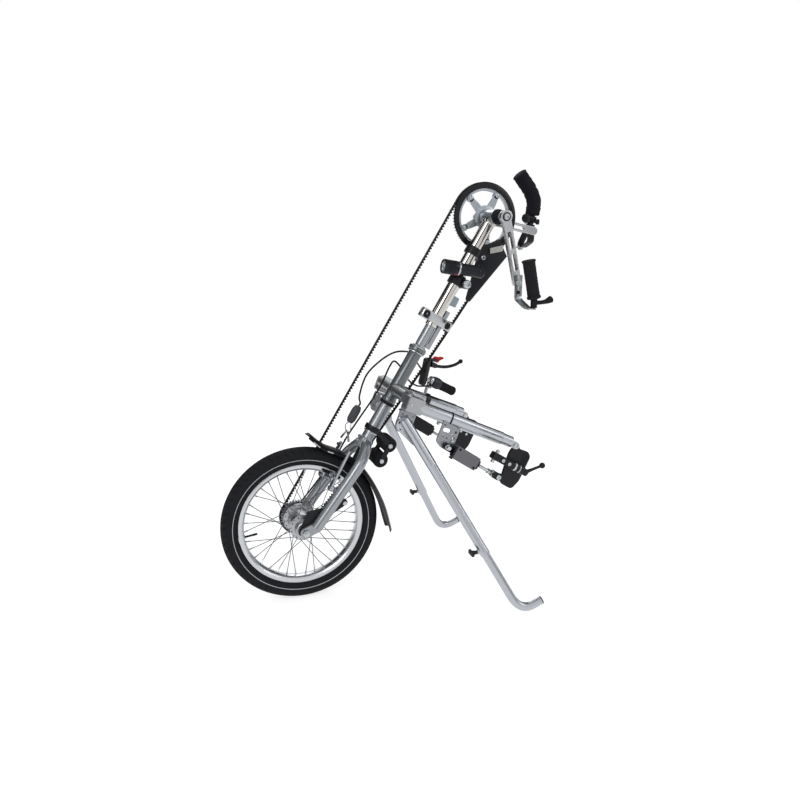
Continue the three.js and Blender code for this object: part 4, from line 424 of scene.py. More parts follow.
# STEER has its Z up the steering axis, which leans back by STEER_TURN degrees. The axle lies in front of
# that axis, at AXLE_X, and AXLE is the same frame moved onto it.
STEER_TURN = 31.2
AXLE_X = -44.5
crank_middle = middle("pulley_guard")
STEER = frame_at(axle_middle.x + 0.038064, axle_middle.z - 0.023052, STEER_TURN)
AXLE = frame_at(axle_middle.x, axle_middle.z, STEER_TURN)


def arc_points(x, z, radius, start, end, steps):
    """Points of an arc in a plane, angles in degrees."""
    angles = [math.radians(start + (end - start) * i / steps) for i in range(steps + 1)]
    return [(x + radius * math.cos(a), z + radius * math.sin(a)) for a in angles]


BOLT_HOLE = 5.3


def round_hole(x, z, radius, steps=20):
    """A round hole for the outline of a plate."""
    return arc_points(x, z, radius, 360, 0, steps)[:-1]


def sheet_shape(frame_matrix, outline, near, thickness, holes=(), plane="XZ", edge=0.4):
    """A plate cut to an outline with holes and softly rounded edges."""
    curve = bpy.data.curves.new("outline", "CURVE")
    curve.dimensions = "2D"
    curve.fill_mode = "BOTH"
    curve.extrude = max(thickness / 2 - edge, 0.01)
    curve.bevel_depth = edge
    curve.offset = -edge
    curve.bevel_resolution = 1
    for loop in (outline, *holes):
        line = curve.splines.new("POLY")
        line.points.add(len(loop) - 1)
        line.use_cyclic_u = True
        for i, (u, v) in enumerate(loop):
            line.points[i].co = (u, v, 0, 1)
    holder = bpy.data.objects.new("outline", curve)
    bpy.context.scene.collection.objects.link(holder)
    bpy.context.view_layer.update()
    made = bpy.data.meshes.new_from_object(holder.evaluated_get(bpy.context.evaluated_depsgraph_get()))
    centre = near + thickness / 2
    spots = {"XZ": lambda c: (c.x, centre - c.z, c.y), "XY": lambda c: (c.x, c.y, centre + c.z),
             "YZ": lambda c: (centre + c.z, c.x, c.y)}[plane]
    corners = [frame_matrix @ Vector(spots(v.co)) for v in made.vertices]
    faces = [tuple(p.vertices) for p in made.polygons]
    bpy.data.objects.remove(holder)
    bpy.data.curves.remove(curve)
    bpy.data.meshes.remove(made)
    return corners, faces


PITCH = 8
BELT_TEETH = 280
PULLEY_TEETH = 68
SPROCKET_TEETH = 36
# The front run is straight, and the rear run bows backward a little, with this radius in mm.
BELT_BOW = 9300
crank_along = (STEER.inverted() @ Vector((crank_middle.x, 0, crank_middle.z))).z
pulley_radius = PULLEY_TEETH * PITCH / (2 * math.pi)
sprocket_radius = SPROCKET_TEETH * PITCH / (2 * math.pi)
axle_spot = Vector((AXLE_X, 0))
crank_spot = Vector((0, crank_along))
span = crank_spot - axle_spot
drop = pulley_radius - sprocket_radius
front_normal = math.atan2(span.y, span.x) + math.acos(-drop / span.length)
to_crank = BELT_BOW - pulley_radius
to_axle = BELT_BOW - sprocket_radius
along = (to_axle ** 2 - to_crank ** 2 + span.length ** 2) / (2 * span.length)
aside = math.sqrt(to_axle ** 2 - along ** 2)
unit = span.normalized()
bow_centre = axle_spot + unit * along + Vector((-unit.y, unit.x)) * aside
crank_normal = math.atan2(*reversed((crank_spot - bow_centre)[:]))
axle_normal = math.atan2(*reversed((axle_spot - bow_centre)[:]))
straight = math.sqrt(span.length_squared - drop ** 2)
belt_arcs = [(crank_spot, pulley_radius, front_normal, (front_normal - crank_normal) % (2 * math.pi)),
             (bow_centre, BELT_BOW, crank_normal, (crank_normal - axle_normal) % (2 * math.pi)),
             (axle_spot, sprocket_radius, axle_normal, (axle_normal - front_normal) % (2 * math.pi))]
belt_length = straight + sum(radius * turn for _, radius, _, turn in belt_arcs)


def belt_point(distance, depth):
    """Where the belt's pitch line is at a distance along it, moved inward by a depth."""
    left = distance % belt_length
    if left < straight:
        heading = Vector((math.cos(front_normal), math.sin(front_normal)))
        return axle_spot + heading * (sprocket_radius - depth) + Vector((heading.y, -heading.x)) * left
    left -= straight
    for centre, radius, start, turn in belt_arcs:
        if left <= radius * turn or radius == sprocket_radius:
            angle = start - left / radius
            return centre + (radius - depth) * Vector((math.cos(angle), math.sin(angle)))
        left -= radius * turn


belt_loops = []
# Along one pitch: the share of the pitch and how deep the belt's inner face lies there.
TOOTH = ((0.0, 4.4), (0.17, 4.1), (0.25, 2.6), (0.34, 1.3), (0.66, 1.3), (0.75, 2.6), (0.83, 4.1))
for tooth in range(BELT_TEETH):
    for share, depth in TOOTH:
        distance = (tooth + share) * belt_length / BELT_TEETH
        inner, outer = belt_point(distance, depth), belt_point(distance, -1.6)
        belt_loops.append([STEER @ Vector((p.x, y, p.y))
                           for p, y in ((inner, 43.2), (inner, 52.8), (outer, 52.8), (outer, 43.2))])
belt = piece("toothed_belt", rings(belt_loops, closed=True), black_rubber, None, ["belt"], angle=28)
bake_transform(belt)

# Both toothed wheels lie between 43 and 53 mm to the right of the middle.
WHEEL_NEAR = 43
WHEEL_WIDTH = 10


def toothed_wheel(frame_matrix, centre, radius, teeth, hole, phase):
    """A belt wheel: rounded teeth that fit the belt, with a round hole."""
    outline = []
    for tooth in range(teeth):
        for share, depth in ((0.0, 4.9), (0.2, 4.7), (0.3, 1.9), (0.7, 1.9), (0.8, 4.7)):
            angle = phase + 2 * math.pi * (tooth + share) / teeth
            outline.append((centre[0] + (radius - depth) * math.cos(angle),
                            centre[1] + (radius - depth) * math.sin(angle)))
    return sheet_shape(frame_matrix, outline, WHEEL_NEAR, WHEEL_WIDTH, [round_hole(*centre, hole, 72)],
                       edge=0.3)


def wrap_phase(arc, start):
    """The turn at which the belt's first whole tooth lies on an arc that begins at start."""
    tooth = math.ceil(start / PITCH) * PITCH
    return arc[2] - (tooth - start) / arc[1]


sprocket_start = straight + belt_arcs[0][1] * belt_arcs[0][3] + belt_arcs[1][1] * belt_arcs[1][3]
pulley_shape = toothed_wheel(STEER, (0, crank_along), pulley_radius, PULLEY_TEETH, 70.5,
                             wrap_phase(belt_arcs[0], straight))
piece("pulley_teeth", pulley_shape, bright_metal, "cranks", ["drive_pulley"], angle=24)
sprocket_shape = toothed_wheel(AXLE, (0, 0), sprocket_radius, SPROCKET_TEETH, BOLT_HOLE,
                               wrap_phase(belt_arcs[2], sprocket_start))
piece("sprocket_teeth", sprocket_shape, satin_metal, "sprocket", ["hub_sprocket"], angle=24)

# Fork
# Two bent steel tubes welded into a round crown, with plate lugs for the axle and bosses for the brakes.
# The steerer runs up through the head tube and inside the column, with a guide fin at its back.


def spline(points, steps):
    """Points of a smooth line through a few places."""
    places = [Vector(p) for p in points]
    places = [2 * places[0] - places[1]] + places + [2 * places[-1] - places[-2]]
    line = []
    for i in range(1, len(places) - 2):
        a, b, c, d = places[i - 1:i + 3]
        for j in range(steps):
            t = j / steps
            line.append(0.5 * (2 * b + (c - a) * t + (2 * a - 5 * b + 4 * c - d) * t * t
                               + (3 * b - a - 3 * c + d) * t ** 3))
    return line + [places[-2]]


def bar_outline(start, end, radius, other=None, steps=10):
    """The outline of a bar with round ends."""
    other = radius if other is None else other
    heading = math.degrees(math.atan2(end[1] - start[1], end[0] - start[0]))
    return (arc_points(*start, radius, heading + 90, heading + 270, steps) + arc_points(*end, other,
                                                                                        heading - 90,
                                                                                        heading + 90,
                                                                                        steps))


def hex_radius(angle, size):
    """How far a hexagon reaches at an angle, when its corners lie at size."""
    return size * math.cos(math.pi / 6) / math.cos((angle % (math.pi / 3)) - math.pi / 6)


def screw(frame_matrix, foot, axis, radius, height, socket=0.5, hexagon=False):
    """A bolt head: round with a hexagon socket, or a hexagon with a round chamfered top."""
    axis = Vector(axis).normalized()
    across = axis.orthogonal().normalized()
    up = axis.cross(across)
    angles = [2 * math.pi * k / 24 for k in range(24)]

    def ring(size, along, six=False):
        """Corners round the axis, on a circle or a hexagon."""
        centre = Vector(foot) + axis * along
        reach = [hex_radius(a, size) if six else size for a in angles]
        return [frame_matrix @ (centre + r * (math.cos(a) * across + math.sin(a) * up))
                for a, r in zip(angles, reach)]

    if hexagon:
        loops = [ring(radius, 0, True), ring(radius, 0.8 * height, True), ring(0.82 * radius, height),
                 ring(0.4 * radius, height), ring(0.36 * radius, 1.1 * height)]
    else:
        loops = [ring(radius, 0), ring(radius, 0.85 * height), ring(0.88 * radius, height),
                 ring(socket * radius, height, True), ring(socket * radius, 0.3 * height, True)]
    return rings(loops)


def side_plate(frame_matrix, outline, side, near, thickness, holes=(), edge=0.4):
    """A plate that lies from near outward, on the left (-1) or the right (1)."""
    start = near if side > 0 else -near - thickness
    return sheet_shape(frame_matrix, outline, start, thickness, holes, edge=edge)


def bent(start, corner, end, steps):
    """Places along a bend that runs from start to end round a corner."""
    shares = [k / steps for k in range(steps + 1)]
    return [(1 - t) ** 2 * start + 2 * t * (1 - t) * corner + t * t * end for t in shares]


def rounded(corners, radius, steps=4):
    """An outline with its corners rounded."""
    points = []
    spots = [Vector(c) for c in corners]
    for i, spot in enumerate(spots):
        before, after = spots[i - 1], spots[(i + 1) % len(spots)]
        reach = min(radius, (before - spot).length / 2, (after - spot).length / 2)
        start = spot + (before - spot).normalized() * reach
        end = spot + (after - spot).normalized() * reach
        points += [(point.x, point.y) for point in bent(start, spot, end, steps)]
    return points


# Metallic paint is light grey under a clear coat, with a bright line along each tube.
fork_paint = finish("metallic paint, light grey", "fork_grey", "9a9ea3", roughness=0.32, metallic=0.75,
                    relief_mm=0.003, coat=0.4)
fork_shapes = []
for side, label in SIDES:
    hips = spline([(0, side * 9, 257), (-1, side * 30, 246), (-3, side * 50, 224), (-7, side * 61, 198),
                   (-16, side * 66.5, 124), (-28, side * 70.5, 22)], 10)
    fork_shapes.append(tube(STEER, hips, 14, 32))
    lug = bar_outline((AXLE_X, 0), (-28, 22), 13.4, 13.6, 14)
    fork_shapes.append(side_plate(STEER, lug, side, 63, 8, [round_hole(AXLE_X, 0, BOLT_HOLE)], edge=0.9))
    fork_shapes.append(lathe(STEER, (-16, side * 55, 124.4), (-1, 0, 0),
                             [(7.5, 0), (6.5, 16), (4, 17.5), (4, 31)], 20))
crown = [(12, 0), (17.5, 0.4), (19.8, 3), (20, 25), (18.6, 28.6), (17.4, 29.5), (16.6, 31), (16.5, 134),
         (15.5, 136), (13, 136.4), (13, 519.5)]
fork_shapes.append(lathe(STEER, (0, 0, 240.5), (0, 0, 1), crown, 56))
fin = rounded([(12, 553), (12, 542.4), (27, 542.4), (27, 650), (16.4, 650), (16.4, 553)], 1.0, 2)
fork_shapes.append(sheet_shape(STEER, fin, -7, 14, edge=0.8))
piece("fork_tubes", joined(*fork_shapes), fork_paint, "fork", ["fork"])
hardware = []
for side, label in SIDES:
    hardware.append(screw(STEER, (-12, side * 23, 262), (-0.5, side * 0.75, 0.5), 4.2, 4.5))
hardware.append(screw(STEER, (-19.5, 0, 255), (-1, 0, 0), 5.5, 5, hexagon=True))
hardware.append(lathe(STEER, (0, 0, 286.4), (0, 0, 1),
                      [(16.6, 0), (19.4, 0.2), (19.8, 1.5), (19.4, 2.8), (16.6, 3)], 48))
piece("fork_screws", joined(*hardware), zinc, "fork")

# Torque arm
# A pressed steel plate, painted black, keyed to the axle on the left and bolted to a tab behind the fork
# leg, so that the hub's gear can't turn the axle.

# Powder coating is black with a fine, uneven skin that softens its shine.
black_paint = finish("powder-coated aluminium, black", "black_paint", "15151b", roughness=0.42,
                     shade=0.12, gloss=0.06, relief_mm=0.02)
torque_outline = rounded([(-58, -14), (-66, 48), (-26, 80), (4, 118), (17, 111), (10, 96), (-16, 50),
                          (-30, -12)], 6, 5)
torque_holes = [round_hole(AXLE_X, 0, BOLT_HOLE), round_hole(8.5, 106.5, 4, 16)]
piece("torque_plate", sheet_shape(STEER, torque_outline, -62.4, 4.4, torque_holes, edge=0.8), black_paint,
      "fork", ["torque_arm"])
torque_bolts = [screw(STEER, (8.5, -62.4, 106.5), (0, -1, 0), 6.4, 4, hexagon=True),
                lathe(STEER, (8.5, -57.6, 106.5), (0, 1, 0), [(2, 0), (6, 0), (6, 4), (3, 4.4), (3, 7)],
                      24),
                sheet_shape(STEER, bar_outline((-14, 104), (-6, 105), 6, 6, 10), -57.8, 3, edge=0.5)]
piece("torque_bolts", joined(*torque_bolts), zinc, "fork")

# Mudguard
# A moulded plastic strip with a bead along both edges, screwed under the crown. Its front is turned up
# and its rear lip flares away from the tyre.

GUARD_RADIUS = 210
GUARD_FLARE = 34
GUARD_THICKNESS = 1.9
BEAD_DIP = 0.9
guard_angles = (7, 17, 30, 45, 61, 82, 101)
guard_flares = (0.72, 0.06, 0, 0, 0.02, 0.32, 1)
guard_places = []
for angle, flare in zip(guard_angles, guard_flares):
    turn = math.radians(angle - STEER_TURN)
    reach = GUARD_RADIUS + GUARD_FLARE * flare
    guard_places.append((reach * math.sin(turn) + AXLE_X, 0, reach * math.cos(turn)))
guard_line = spline(guard_places, 9)
guard_loops = []
edges_near = []
edges_far = []
for i, spot in enumerate(guard_line):
    ahead = (guard_line[min(i + 1, len(guard_line) - 1)] - guard_line[max(i - 1, 0)]).normalized()
    out = Vector((0, 1, 0)).cross(ahead)
    if out.dot(spot - Vector((AXLE_X, 0, 0))) < 0:
        out = -out
    share = min(i, len(guard_line) - 1 - i) / 4
    wide = 28.2 * (0.78 + 0.22 * min(1, share) ** 0.5)
    across = [k / 8 for k in range(-8, 9)]
    under = []
    for u in across:
        dip = BEAD_DIP if 0.55 < abs(u) < 0.8 else 0
        under.append(spot + Vector((0, wide * u, 0)) - out * (1.0 + 8 * u * u - dip))
    over = [p + out * GUARD_THICKNESS for p in under]
    guard_loops.append([STEER @ p for p in under + over[::-1]])
    edges_near.append(under[0] + out * 0.9)
    edges_far.append(under[-1] + out * 0.9)
guard_shape = joined(rings(guard_loops), tube(STEER, edges_near, 1.6, 10),
                     tube(STEER, edges_far, 1.6, 10),
                     sheet_shape(STEER, rounded([(-7, 204), (7, 204), (7, 240), (-7, 240)], 2), -7, 14))
# Polypropylene from a polished mould is black with a half gloss.
guard_plastic = finish("polypropylene, black, semi-gloss", "black_plastic", "15161c", roughness=0.34,
                       shade=0.1, gloss=0.06, relief_mm=0.01)
piece("mudguard_shell", guard_shape, guard_plastic, "fork", ["mudguard"], angle=40)
# The pale dashes on both beaded edges are painted highlights, not tape.
painted_highlights = []
for low, high in ((3, 8), (11, 15)):
    for line in (edges_near, edges_far):
        painted_highlights.append(tube(STEER, [p + Vector((0, 0, 0.3)) for p in line[low:high]], 1.75, 10))
piece("mudguard_painted_highlights", joined(*painted_highlights), tape_and_highlight_finish, "fork")

# Rim brake
# Two forged aluminium arms on the fork's bosses, each with a rubber pad on a threaded stud, a return
# spring and a bolt; the cable's bent pipe pulls their upper ends together.

# Forged and polished aluminium is bright, with narrow reflections.
brake_metal = finish("forged aluminium, polished", "satin_aluminium", "a9acb0", roughness=0.26,
                     metallic=1.0, grain_mm=0.8, shade=0.06, relief_mm=0.005)
for side, label in SIDES:
    arm = bar_outline((side * 55, 124.4), (side * 43, 222.4), 5.6, 3.6, 12)
    window = bar_outline((side * 50.5, 164), (side * 46.5, 196), 1.7, 1.4, 6)[::-1]
    shape = joined(sheet_shape(STEER, arm, -44.6, 7, [window], plane="YZ", edge=1.4),
                   lathe(STEER, (-44.8, side * 55, 124.4), (1, 0, 0),
                         [(4.2, 0), (7.4, 0), (8, 1), (8, 9.6), (4.2, 10)], 28),
                   lathe(STEER, (AXLE_X, side * 24, 150.4), (0, side, 0),
                         [(7.6, 0), (7.6, 1.6), (5.5, 2), (5.5, 7), (7.6, 7.4), (7.6, 9), (3.4, 9.4),
                          (3.4, 31)], 24))
    piece("brake_lever_arm_" + label, shape, brake_metal, "brake_" + label, ["brake_arm_" + label])
    small = joined(screw(STEER, (-44.8, side * 55, 124.4), (-1, 0, 0), 4.6, 3.4),
                   screw(STEER, (-44.8, side * 43.6, 217), (-1, 0, 0), 4.2, 4, hexagon=True),
                   tube(STEER,
                        spline([(-47, side * 59, 121), (-49, side * 58.5, 140), (-46, side * 53.5, 172),
                                (-42.6, side * 49, 183)], 6), 0.9, 8))
    piece("brake_hardware_" + label, small, stainless, "brake_" + label)
    pad = rounded([(-70, 146.6), (-19, 146.6), (-18.6, 154), (-70.4, 154.3)], 3.5)
    grooves = [bar_outline((AXLE_X + k, 148.4), (AXLE_X + k, 152.2), 0.8, 0.8, 4)[::-1]
               for k in (-17, -9, 9, 17)]
    piece("brake_pad_" + label, side_plate(STEER, pad, side, 15.9, 8, grooves, edge=0.7), black_rubber,
          "brake_" + label)

# Idlers
# Two ribbed rubber rollers turn on bolts behind the fork and keep the belt's rear run off the frame.
# The bolts sit in a black steel strap that is bent round the steerer.

UPPER_IDLER = (61.5, 279)
LOWER_IDLER = (61, 234)
IDLER_PLACES = {"upper": UPPER_IDLER, "lower": LOWER_IDLER}
for label, (x, z) in IDLER_PLACES.items():
    profile = [(4.4, 0), (14.5, 0)]
    for rib in range(5):
        foot = 12.4 * rib
        profile += [(15.2, foot + 0.6), (18.6, foot + 1.6), (19.8, foot + 3.6), (20, foot + 6.2),
                    (19.8, foot + 8.8), (18.6, foot + 10.8), (15.2, foot + 11.8)]
    profile += [(14.5, 62), (4.4, 62)]
    piece("roller_" + label, lathe(STEER, (x, -8, z), (0, 1, 0), profile, 40, True), black_rubber,
          "idler_" + label, ["idler_" + label], angle=50)
caps = [screw(STEER, (x, -12.4, z), (0, -1, 0), 6.5, 4, hexagon=True) for x, z in IDLER_PLACES.values()]
piece("idler_bolts", joined(*caps), zinc, "fork")
strap = [lathe(STEER, (0, 0, 291), (0, 0, 1),
               [(17.4, 0), (21, 0.6), (21.6, 2), (21.6, 12), (21, 13.4), (17.4, 14)], 48, True)]
for low in (-11.2, 55):
    strap += [sheet_shape(STEER, bar_outline((12, 298), UPPER_IDLER, 7, 6.5, 12), low, 3, edge=0.5),
              sheet_shape(STEER, bar_outline(UPPER_IDLER, LOWER_IDLER, 6.5, 6.5, 12), low, 3, edge=0.5)]
piece("idler_strap", joined(*strap), black_paint, "fork", ["idler_bracket"])

# Head tube and end blocks
# A welded steel frame: the head tube with its bearing collars, a cross tube through it, and two clamp
# blocks that grip the docking arms.

# ARMS is the frame of the docking arms, whose X runs back and down by ARM_TURN degrees.
ARM_TURN = 22.33
ARM_SIDE = 116
ARMS = frame_at(axle_middle.x + 0.252009, 0.530213, ARM_TURN)
head = [(15.3, 377), (19, 377), (19.3, 378), (19.3, 384), (18.6, 386), (17.3, 388.5), (17.3, 515),
        (18, 518), (22.6, 525), (23.5, 526), (23.5, 532.4), (22.6, 533), (15.3, 533)]
frame_shapes = [lathe(STEER, (0, 0, 0), (0, 0, 1), head, 56, True),
                lathe(ARMS, (0, -99, 0), (0, 1, 0), [(3, 0), (17, 0), (17, 198), (3, 198)], 48)]
# The frame's metallic paint is a darker grey than the fork's.
frame_paint = finish("metallic paint, dark grey", "frame_grey", "6b6f73", roughness=0.34, metallic=0.7,
                     relief_mm=0.003, coat=0.4)
piece("frame_weldment", joined(*frame_shapes), frame_paint, "frame", ["main_frame"])
# Machined aluminium is pale and even, a little duller than the tubes.
block_metal = finish("machined aluminium, clear anodised", "satin_aluminium", "a5a6a9", roughness=0.34,
                     metallic=0.85, grain_mm=0.6)
for side, label in SIDES:
    block = rounded([(-8.5, -29.5), (37, -29.5), (37, 9.5), (-8.5, 9.5)], 6, 6)
    ends = [side_plate(ARMS, block, side, 98, 36, edge=3.2)]
    for x in (-1, 29):
        ends.append(lathe(ARMS, (x, side * ARM_SIDE, 9.3), (0, 0, 1), [(5.6, 0), (5.6, 1), (5, 1.3)], 24))
    piece("end_block_" + label, joined(*ends), block_metal, "frame")
bolts = []
for side, label in SIDES:
    for x in (-1, 29):
        bolts.append(screw(ARMS, (x, side * ARM_SIDE, 9.6), (0, 0, 1), 4.2, 3))
    bolts.append(screw(ARMS, (3, side * 134, -10), (0, side, 0), 3.6, 2.4))
bolts.append(lathe(STEER, (0, 0, 533.2), (0, 0, 1),
                   [(13.3, 0), (22, 0), (22.4, 1), (21, 3.4), (18, 4.4), (15.5, 8), (13.3, 8.2)], 48, True))
bolts.append(lathe(STEER, (0, 0, 519), (0, 0, 1), [(22, 0), (22.6, 0.6), (22.6, 2.4), (22, 3)], 48, True))
piece("frame_bolts", joined(*bolts), zinc, "frame")
seals = [lathe(STEER, (0, 0, 369), (0, 0, 1), [(16.8, 0), (19.6, 0.4), (19.6, 7.4), (16.8, 7.8)], 48, True)]
piece("headset_seal", joined(*seals), black_rubber, "frame")

# Docking arms
# Aluminium tubes, clear anodised, with a turned end that holds the hinge of the wheelchair clamp and a
# bent plate under the tube for the link. The hinge bolts are zinc plated.

# Moulded nylon is black with a fine grain.
black_plastic = finish("moulded nylon, black", "black_plastic", "17181f", roughness=0.5, grain_mm=0.4,
                       shade=0.12, relief_mm=0.02)
# Clear anodised tube is silver with a soft streak of light along it.
arm_metal = finish("aluminium tube, clear anodised", "bright_aluminium", "b4b7bd", roughness=0.3,
                   metallic=1.0, grain_mm=0.7, shade=0.04, relief_mm=0.003)
# Zinc-nickel plating is a middle grey with a satin shine.
plate_metal = finish("steel plate, zinc-nickel", "zinc", "8f9196", roughness=0.36, metallic=1.0,
                     grain_mm=0.8, shade=0.06, gloss=0.06, relief_mm=0.006)
CHEEKS = (149.7, 162.3)
for side, label in SIDES:
    start, tip = Vector((15.3, side * ARM_SIDE, -10.3)), Vector((280.5, side * 157, -14.7))
    reach = (tip - start).length
    shape = lathe(ARMS, start, tip - start,
                  [(3, 0), (16, 0), (16, reach - 33), (15.4, reach - 32), (15.4, reach - 30),
                   (16, reach - 29), (15.8, reach - 27.5), (14.2, reach - 26.8), (14, reach - 1),
                   (13.2, reach), (3, reach)], 56)
    cheek = bar_outline((266.5, -14.7), (292, -18.7), 8.9, 8.9, 12)
    cheeks = [side_plate(ARMS, cheek, side, y, 4, edge=0.8) for y in CHEEKS]
    piece("arm_tube_" + label, joined(shape, *cheeks), arm_metal, "frame", ["arm_" + label])
    hanger = rounded([(92, -18), (142, -18), (142, -70), (131, -86), (113, -86), (92, -74)], 8, 5)
    holes = [bar_outline((104, -40), (114, -40), 5.2, 5.2, 6)[::-1]]
    holes += [round_hole(x, z, r, 16)
              for x, z,
              r in ((134, -38, 3.2), (134, -54, 3.2), (127, -46, 1.8), (104, -56, 3), (116, -58, 2.2),
                    (99, -28, 2), (134, -26, 2))]
    plate = side_plate(ARMS, hanger, side, 140, 4, holes, edge=0.6)
    web = side_plate(ARMS, rounded([(98, -14), (136, -14), (136, -25), (98, -25)], 2), side, 126, 15,
                     edge=0.6)
    piece("hanger_plate_" + label, joined(plate, web), plate_metal, "frame")
    bolts = joined(screw(ARMS, (292, side * 166.3, -18.7), (0, side, 0), 7.6, 3.6),
                   lathe(ARMS, (292, side * 149.4, -18.7), (0, -side, 0), [(7, 0), (7, 3), (5, 3.4)], 20),
                   lathe(ARMS, (292, side * 149.7, -18.7), (0, side, 0), [(4.9, 0), (4.9, 17)], 20),
                   lathe(ARMS, (122, side * 140, -77), (0, side, 0), [(4.9, 0), (4.9, 27)], 20),
                   screw(ARMS, (122, side * 140, -77), (0, -side, 0), 7, 3, hexagon=True),
                   screw(ARMS, (122, side * 153.2, -77), (0, side, 0), 6.6, 4),
                   screw(ARMS, (134, side * 144, -62), (0, side, 0), 4.2, 2.6))
    piece("arm_bolts_" + label, bolts, zinc, "frame")
    tie = lathe(ARMS, start + (tip - start) * (0.36 if side < 0 else 0.5), tip - start,
                [(16.1, 0), (17.4, 0.2), (17.4, 3.6), (16.1, 3.8)], 40, True)
    piece("cable_tie_" + label, tie, black_plastic, "frame")

# Wheelchair clamps
# Laser-cut steel plates with a thick black coating, a square clamping bar that slides on two pins, and
# a lever with a ball end that tightens it.


def inside(frame_matrix, x=0.0, y=0.0, z=0.0, turn=0.0):
    """A frame moved inside another and turned about Y by degrees."""
    return frame_matrix @ Matrix.Translation((x, y, z)) @ Matrix.Rotation(math.radians(turn), 4, "Y")


def ball(frame_matrix, centre, radius):
    """A ball made by turning half a circle."""
    profile = [(radius * math.sin(math.pi * i / 12), -radius * math.cos(math.pi * i / 12))
               for i in range(13)]
    return lathe(frame_matrix, centre, (0, 0, 1), profile, 24)


# A thick coat melted onto steel is black, smooth and softly uneven.
coated = finish("nylon-coated steel, black", "black_paint", "121319", roughness=0.36, grain_mm=0.7,
                shade=0.12, gloss=0.06, relief_mm=0.03)
# CLAMP lies in the hinge at the arm's end.
CLAMP = inside(ARMS, 292, 0, -18.7)
KNUCKLE_NEAR = 154.3
KNUCKLE_WIDE = 7.4
clamp_shares = ((-0.08, -0.047), (0.82, -0.05), (1, -0.144), (0.915, -0.766), (0.685, -1), (0, -0.942),
                (-0.094, -0.633), (-0.157, -0.22))
for side, label in SIDES:
    outline = rounded([(54 * u, 109 * v) for u, v in clamp_shares], 9, 5)
    plate = side_plate(CLAMP, outline, side, 154, 8, edge=1.8)
    knuckle = side_plate(CLAMP, bar_outline((0, 0), (9, -9), 8.9, 8.9, 10), side, KNUCKLE_NEAR,
                         KNUCKLE_WIDE, [round_hole(0, 0, BOLT_HOLE)], edge=1)
    lug = side_plate(CLAMP, bar_outline((-13.4, -88.7), (9, -88.7), 8.9, 8.9, 10), side, KNUCKLE_NEAR,
                     KNUCKLE_WIDE, [round_hole(-13.4, -88.7, 6.2)], edge=1)
    piece("clamp_plate_coated_" + label, joined(plate, knuckle, lug), coated, "clamp_" + label,
          ["clamp_plate_" + label])
    BAR = inside(CLAMP, -64, side * 182, -37, 9)
    beam = sheet_shape(BAR, rounded([(0, -9), (67, -9), (67, 9), (0, 9)], 2.5), -10, 20, edge=1.2)
    sleeve = lathe(BAR, (66, 0, 0), (1, 0, 0), [(3, 0), (10.4, 0), (10.4, 34.6), (9.6, 35), (3, 35)], 36)
    piece("clamp_beam_" + label, joined(beam, sleeve), coated, "clamp_bar_" + label, ["clamp_bar_" + label])
    metal = [lathe(BAR, (68.5, 0, 0), (1, 0, 0), [(10.2, 0), (11, 0.5), (11, 5.5), (10.2, 6)], 36, True),
             lathe(BAR, (84, 0, 0), (1, 0, 0), [(10.2, 0), (10.8, 0.4), (10.8, 2.6), (10.2, 3)], 36,
                   True), lathe(BAR, (96, 0, 0), (1, 0, 0), [(4, 0), (4, 17)], 16),
             screw(BAR, (30, side * 10, 0), (0, side, 0), 4.4, 2.6),
             screw(BAR, (50, side * 10, 0), (0, side, 0), 4.4, 2.6)]
    for way in (-1, 1):
        metal.append(screw(BAR, (10, 0, way * 9), (0, 0, way), 5, 8, hexagon=True))
    for place in (72, 92):
        spot = Vector((place, 0, 0))
        metal.append(lathe(BAR, spot - Vector((0, side * 31, 0)), (0, side, 0),
                           [(3.2, 0), (4, 1), (4, 31)], 16))
    piece("clamp_bar_metal_" + label, joined(*metal), zinc, "clamp_bar_" + label)
    HUB = inside(BAR, 101.3)
    hub = lathe(HUB, (0, 0, 0), (1, 0, 0), [(4.4, 0), (8.2, 0), (9, 1), (9, 10), (8.2, 11), (4.4, 11)],
                32, True)
    tip = Vector((30, side * 15, 36))
    root = Vector((5.5, 0, 0)) + tip.normalized() * 6
    stem = tube(HUB, [root, root.lerp(tip, 0.3), root.lerp(tip, 0.7), tip], [5, 3.8, 3.4, 3.8], 20)
    piece("lever_rod_" + label, joined(hub, stem, ball(HUB, tip, 7.5)), black_plastic,
          "clamp_lever_" + label, ["clamp_lever_" + label])

# Links
# A folded aluminium housing hangs on each arm, and a threaded rod runs out of it to a forked eye on
# the clamp plate. The left housing is anodised grey, and the right one, on the far side, is the same
# housing with black painted on as shade.

# Anodised aluminium in grey shows little shine and no streaks.
link_paint = finish("anodised aluminium, grey", "link_grey", "6c6c70", roughness=0.4, metallic=0.55,
                    grain_mm=0.6, shade=0.06, relief_mm=0.006)
LINK_LENGTH = 159.52
LINK_SIDE = 158
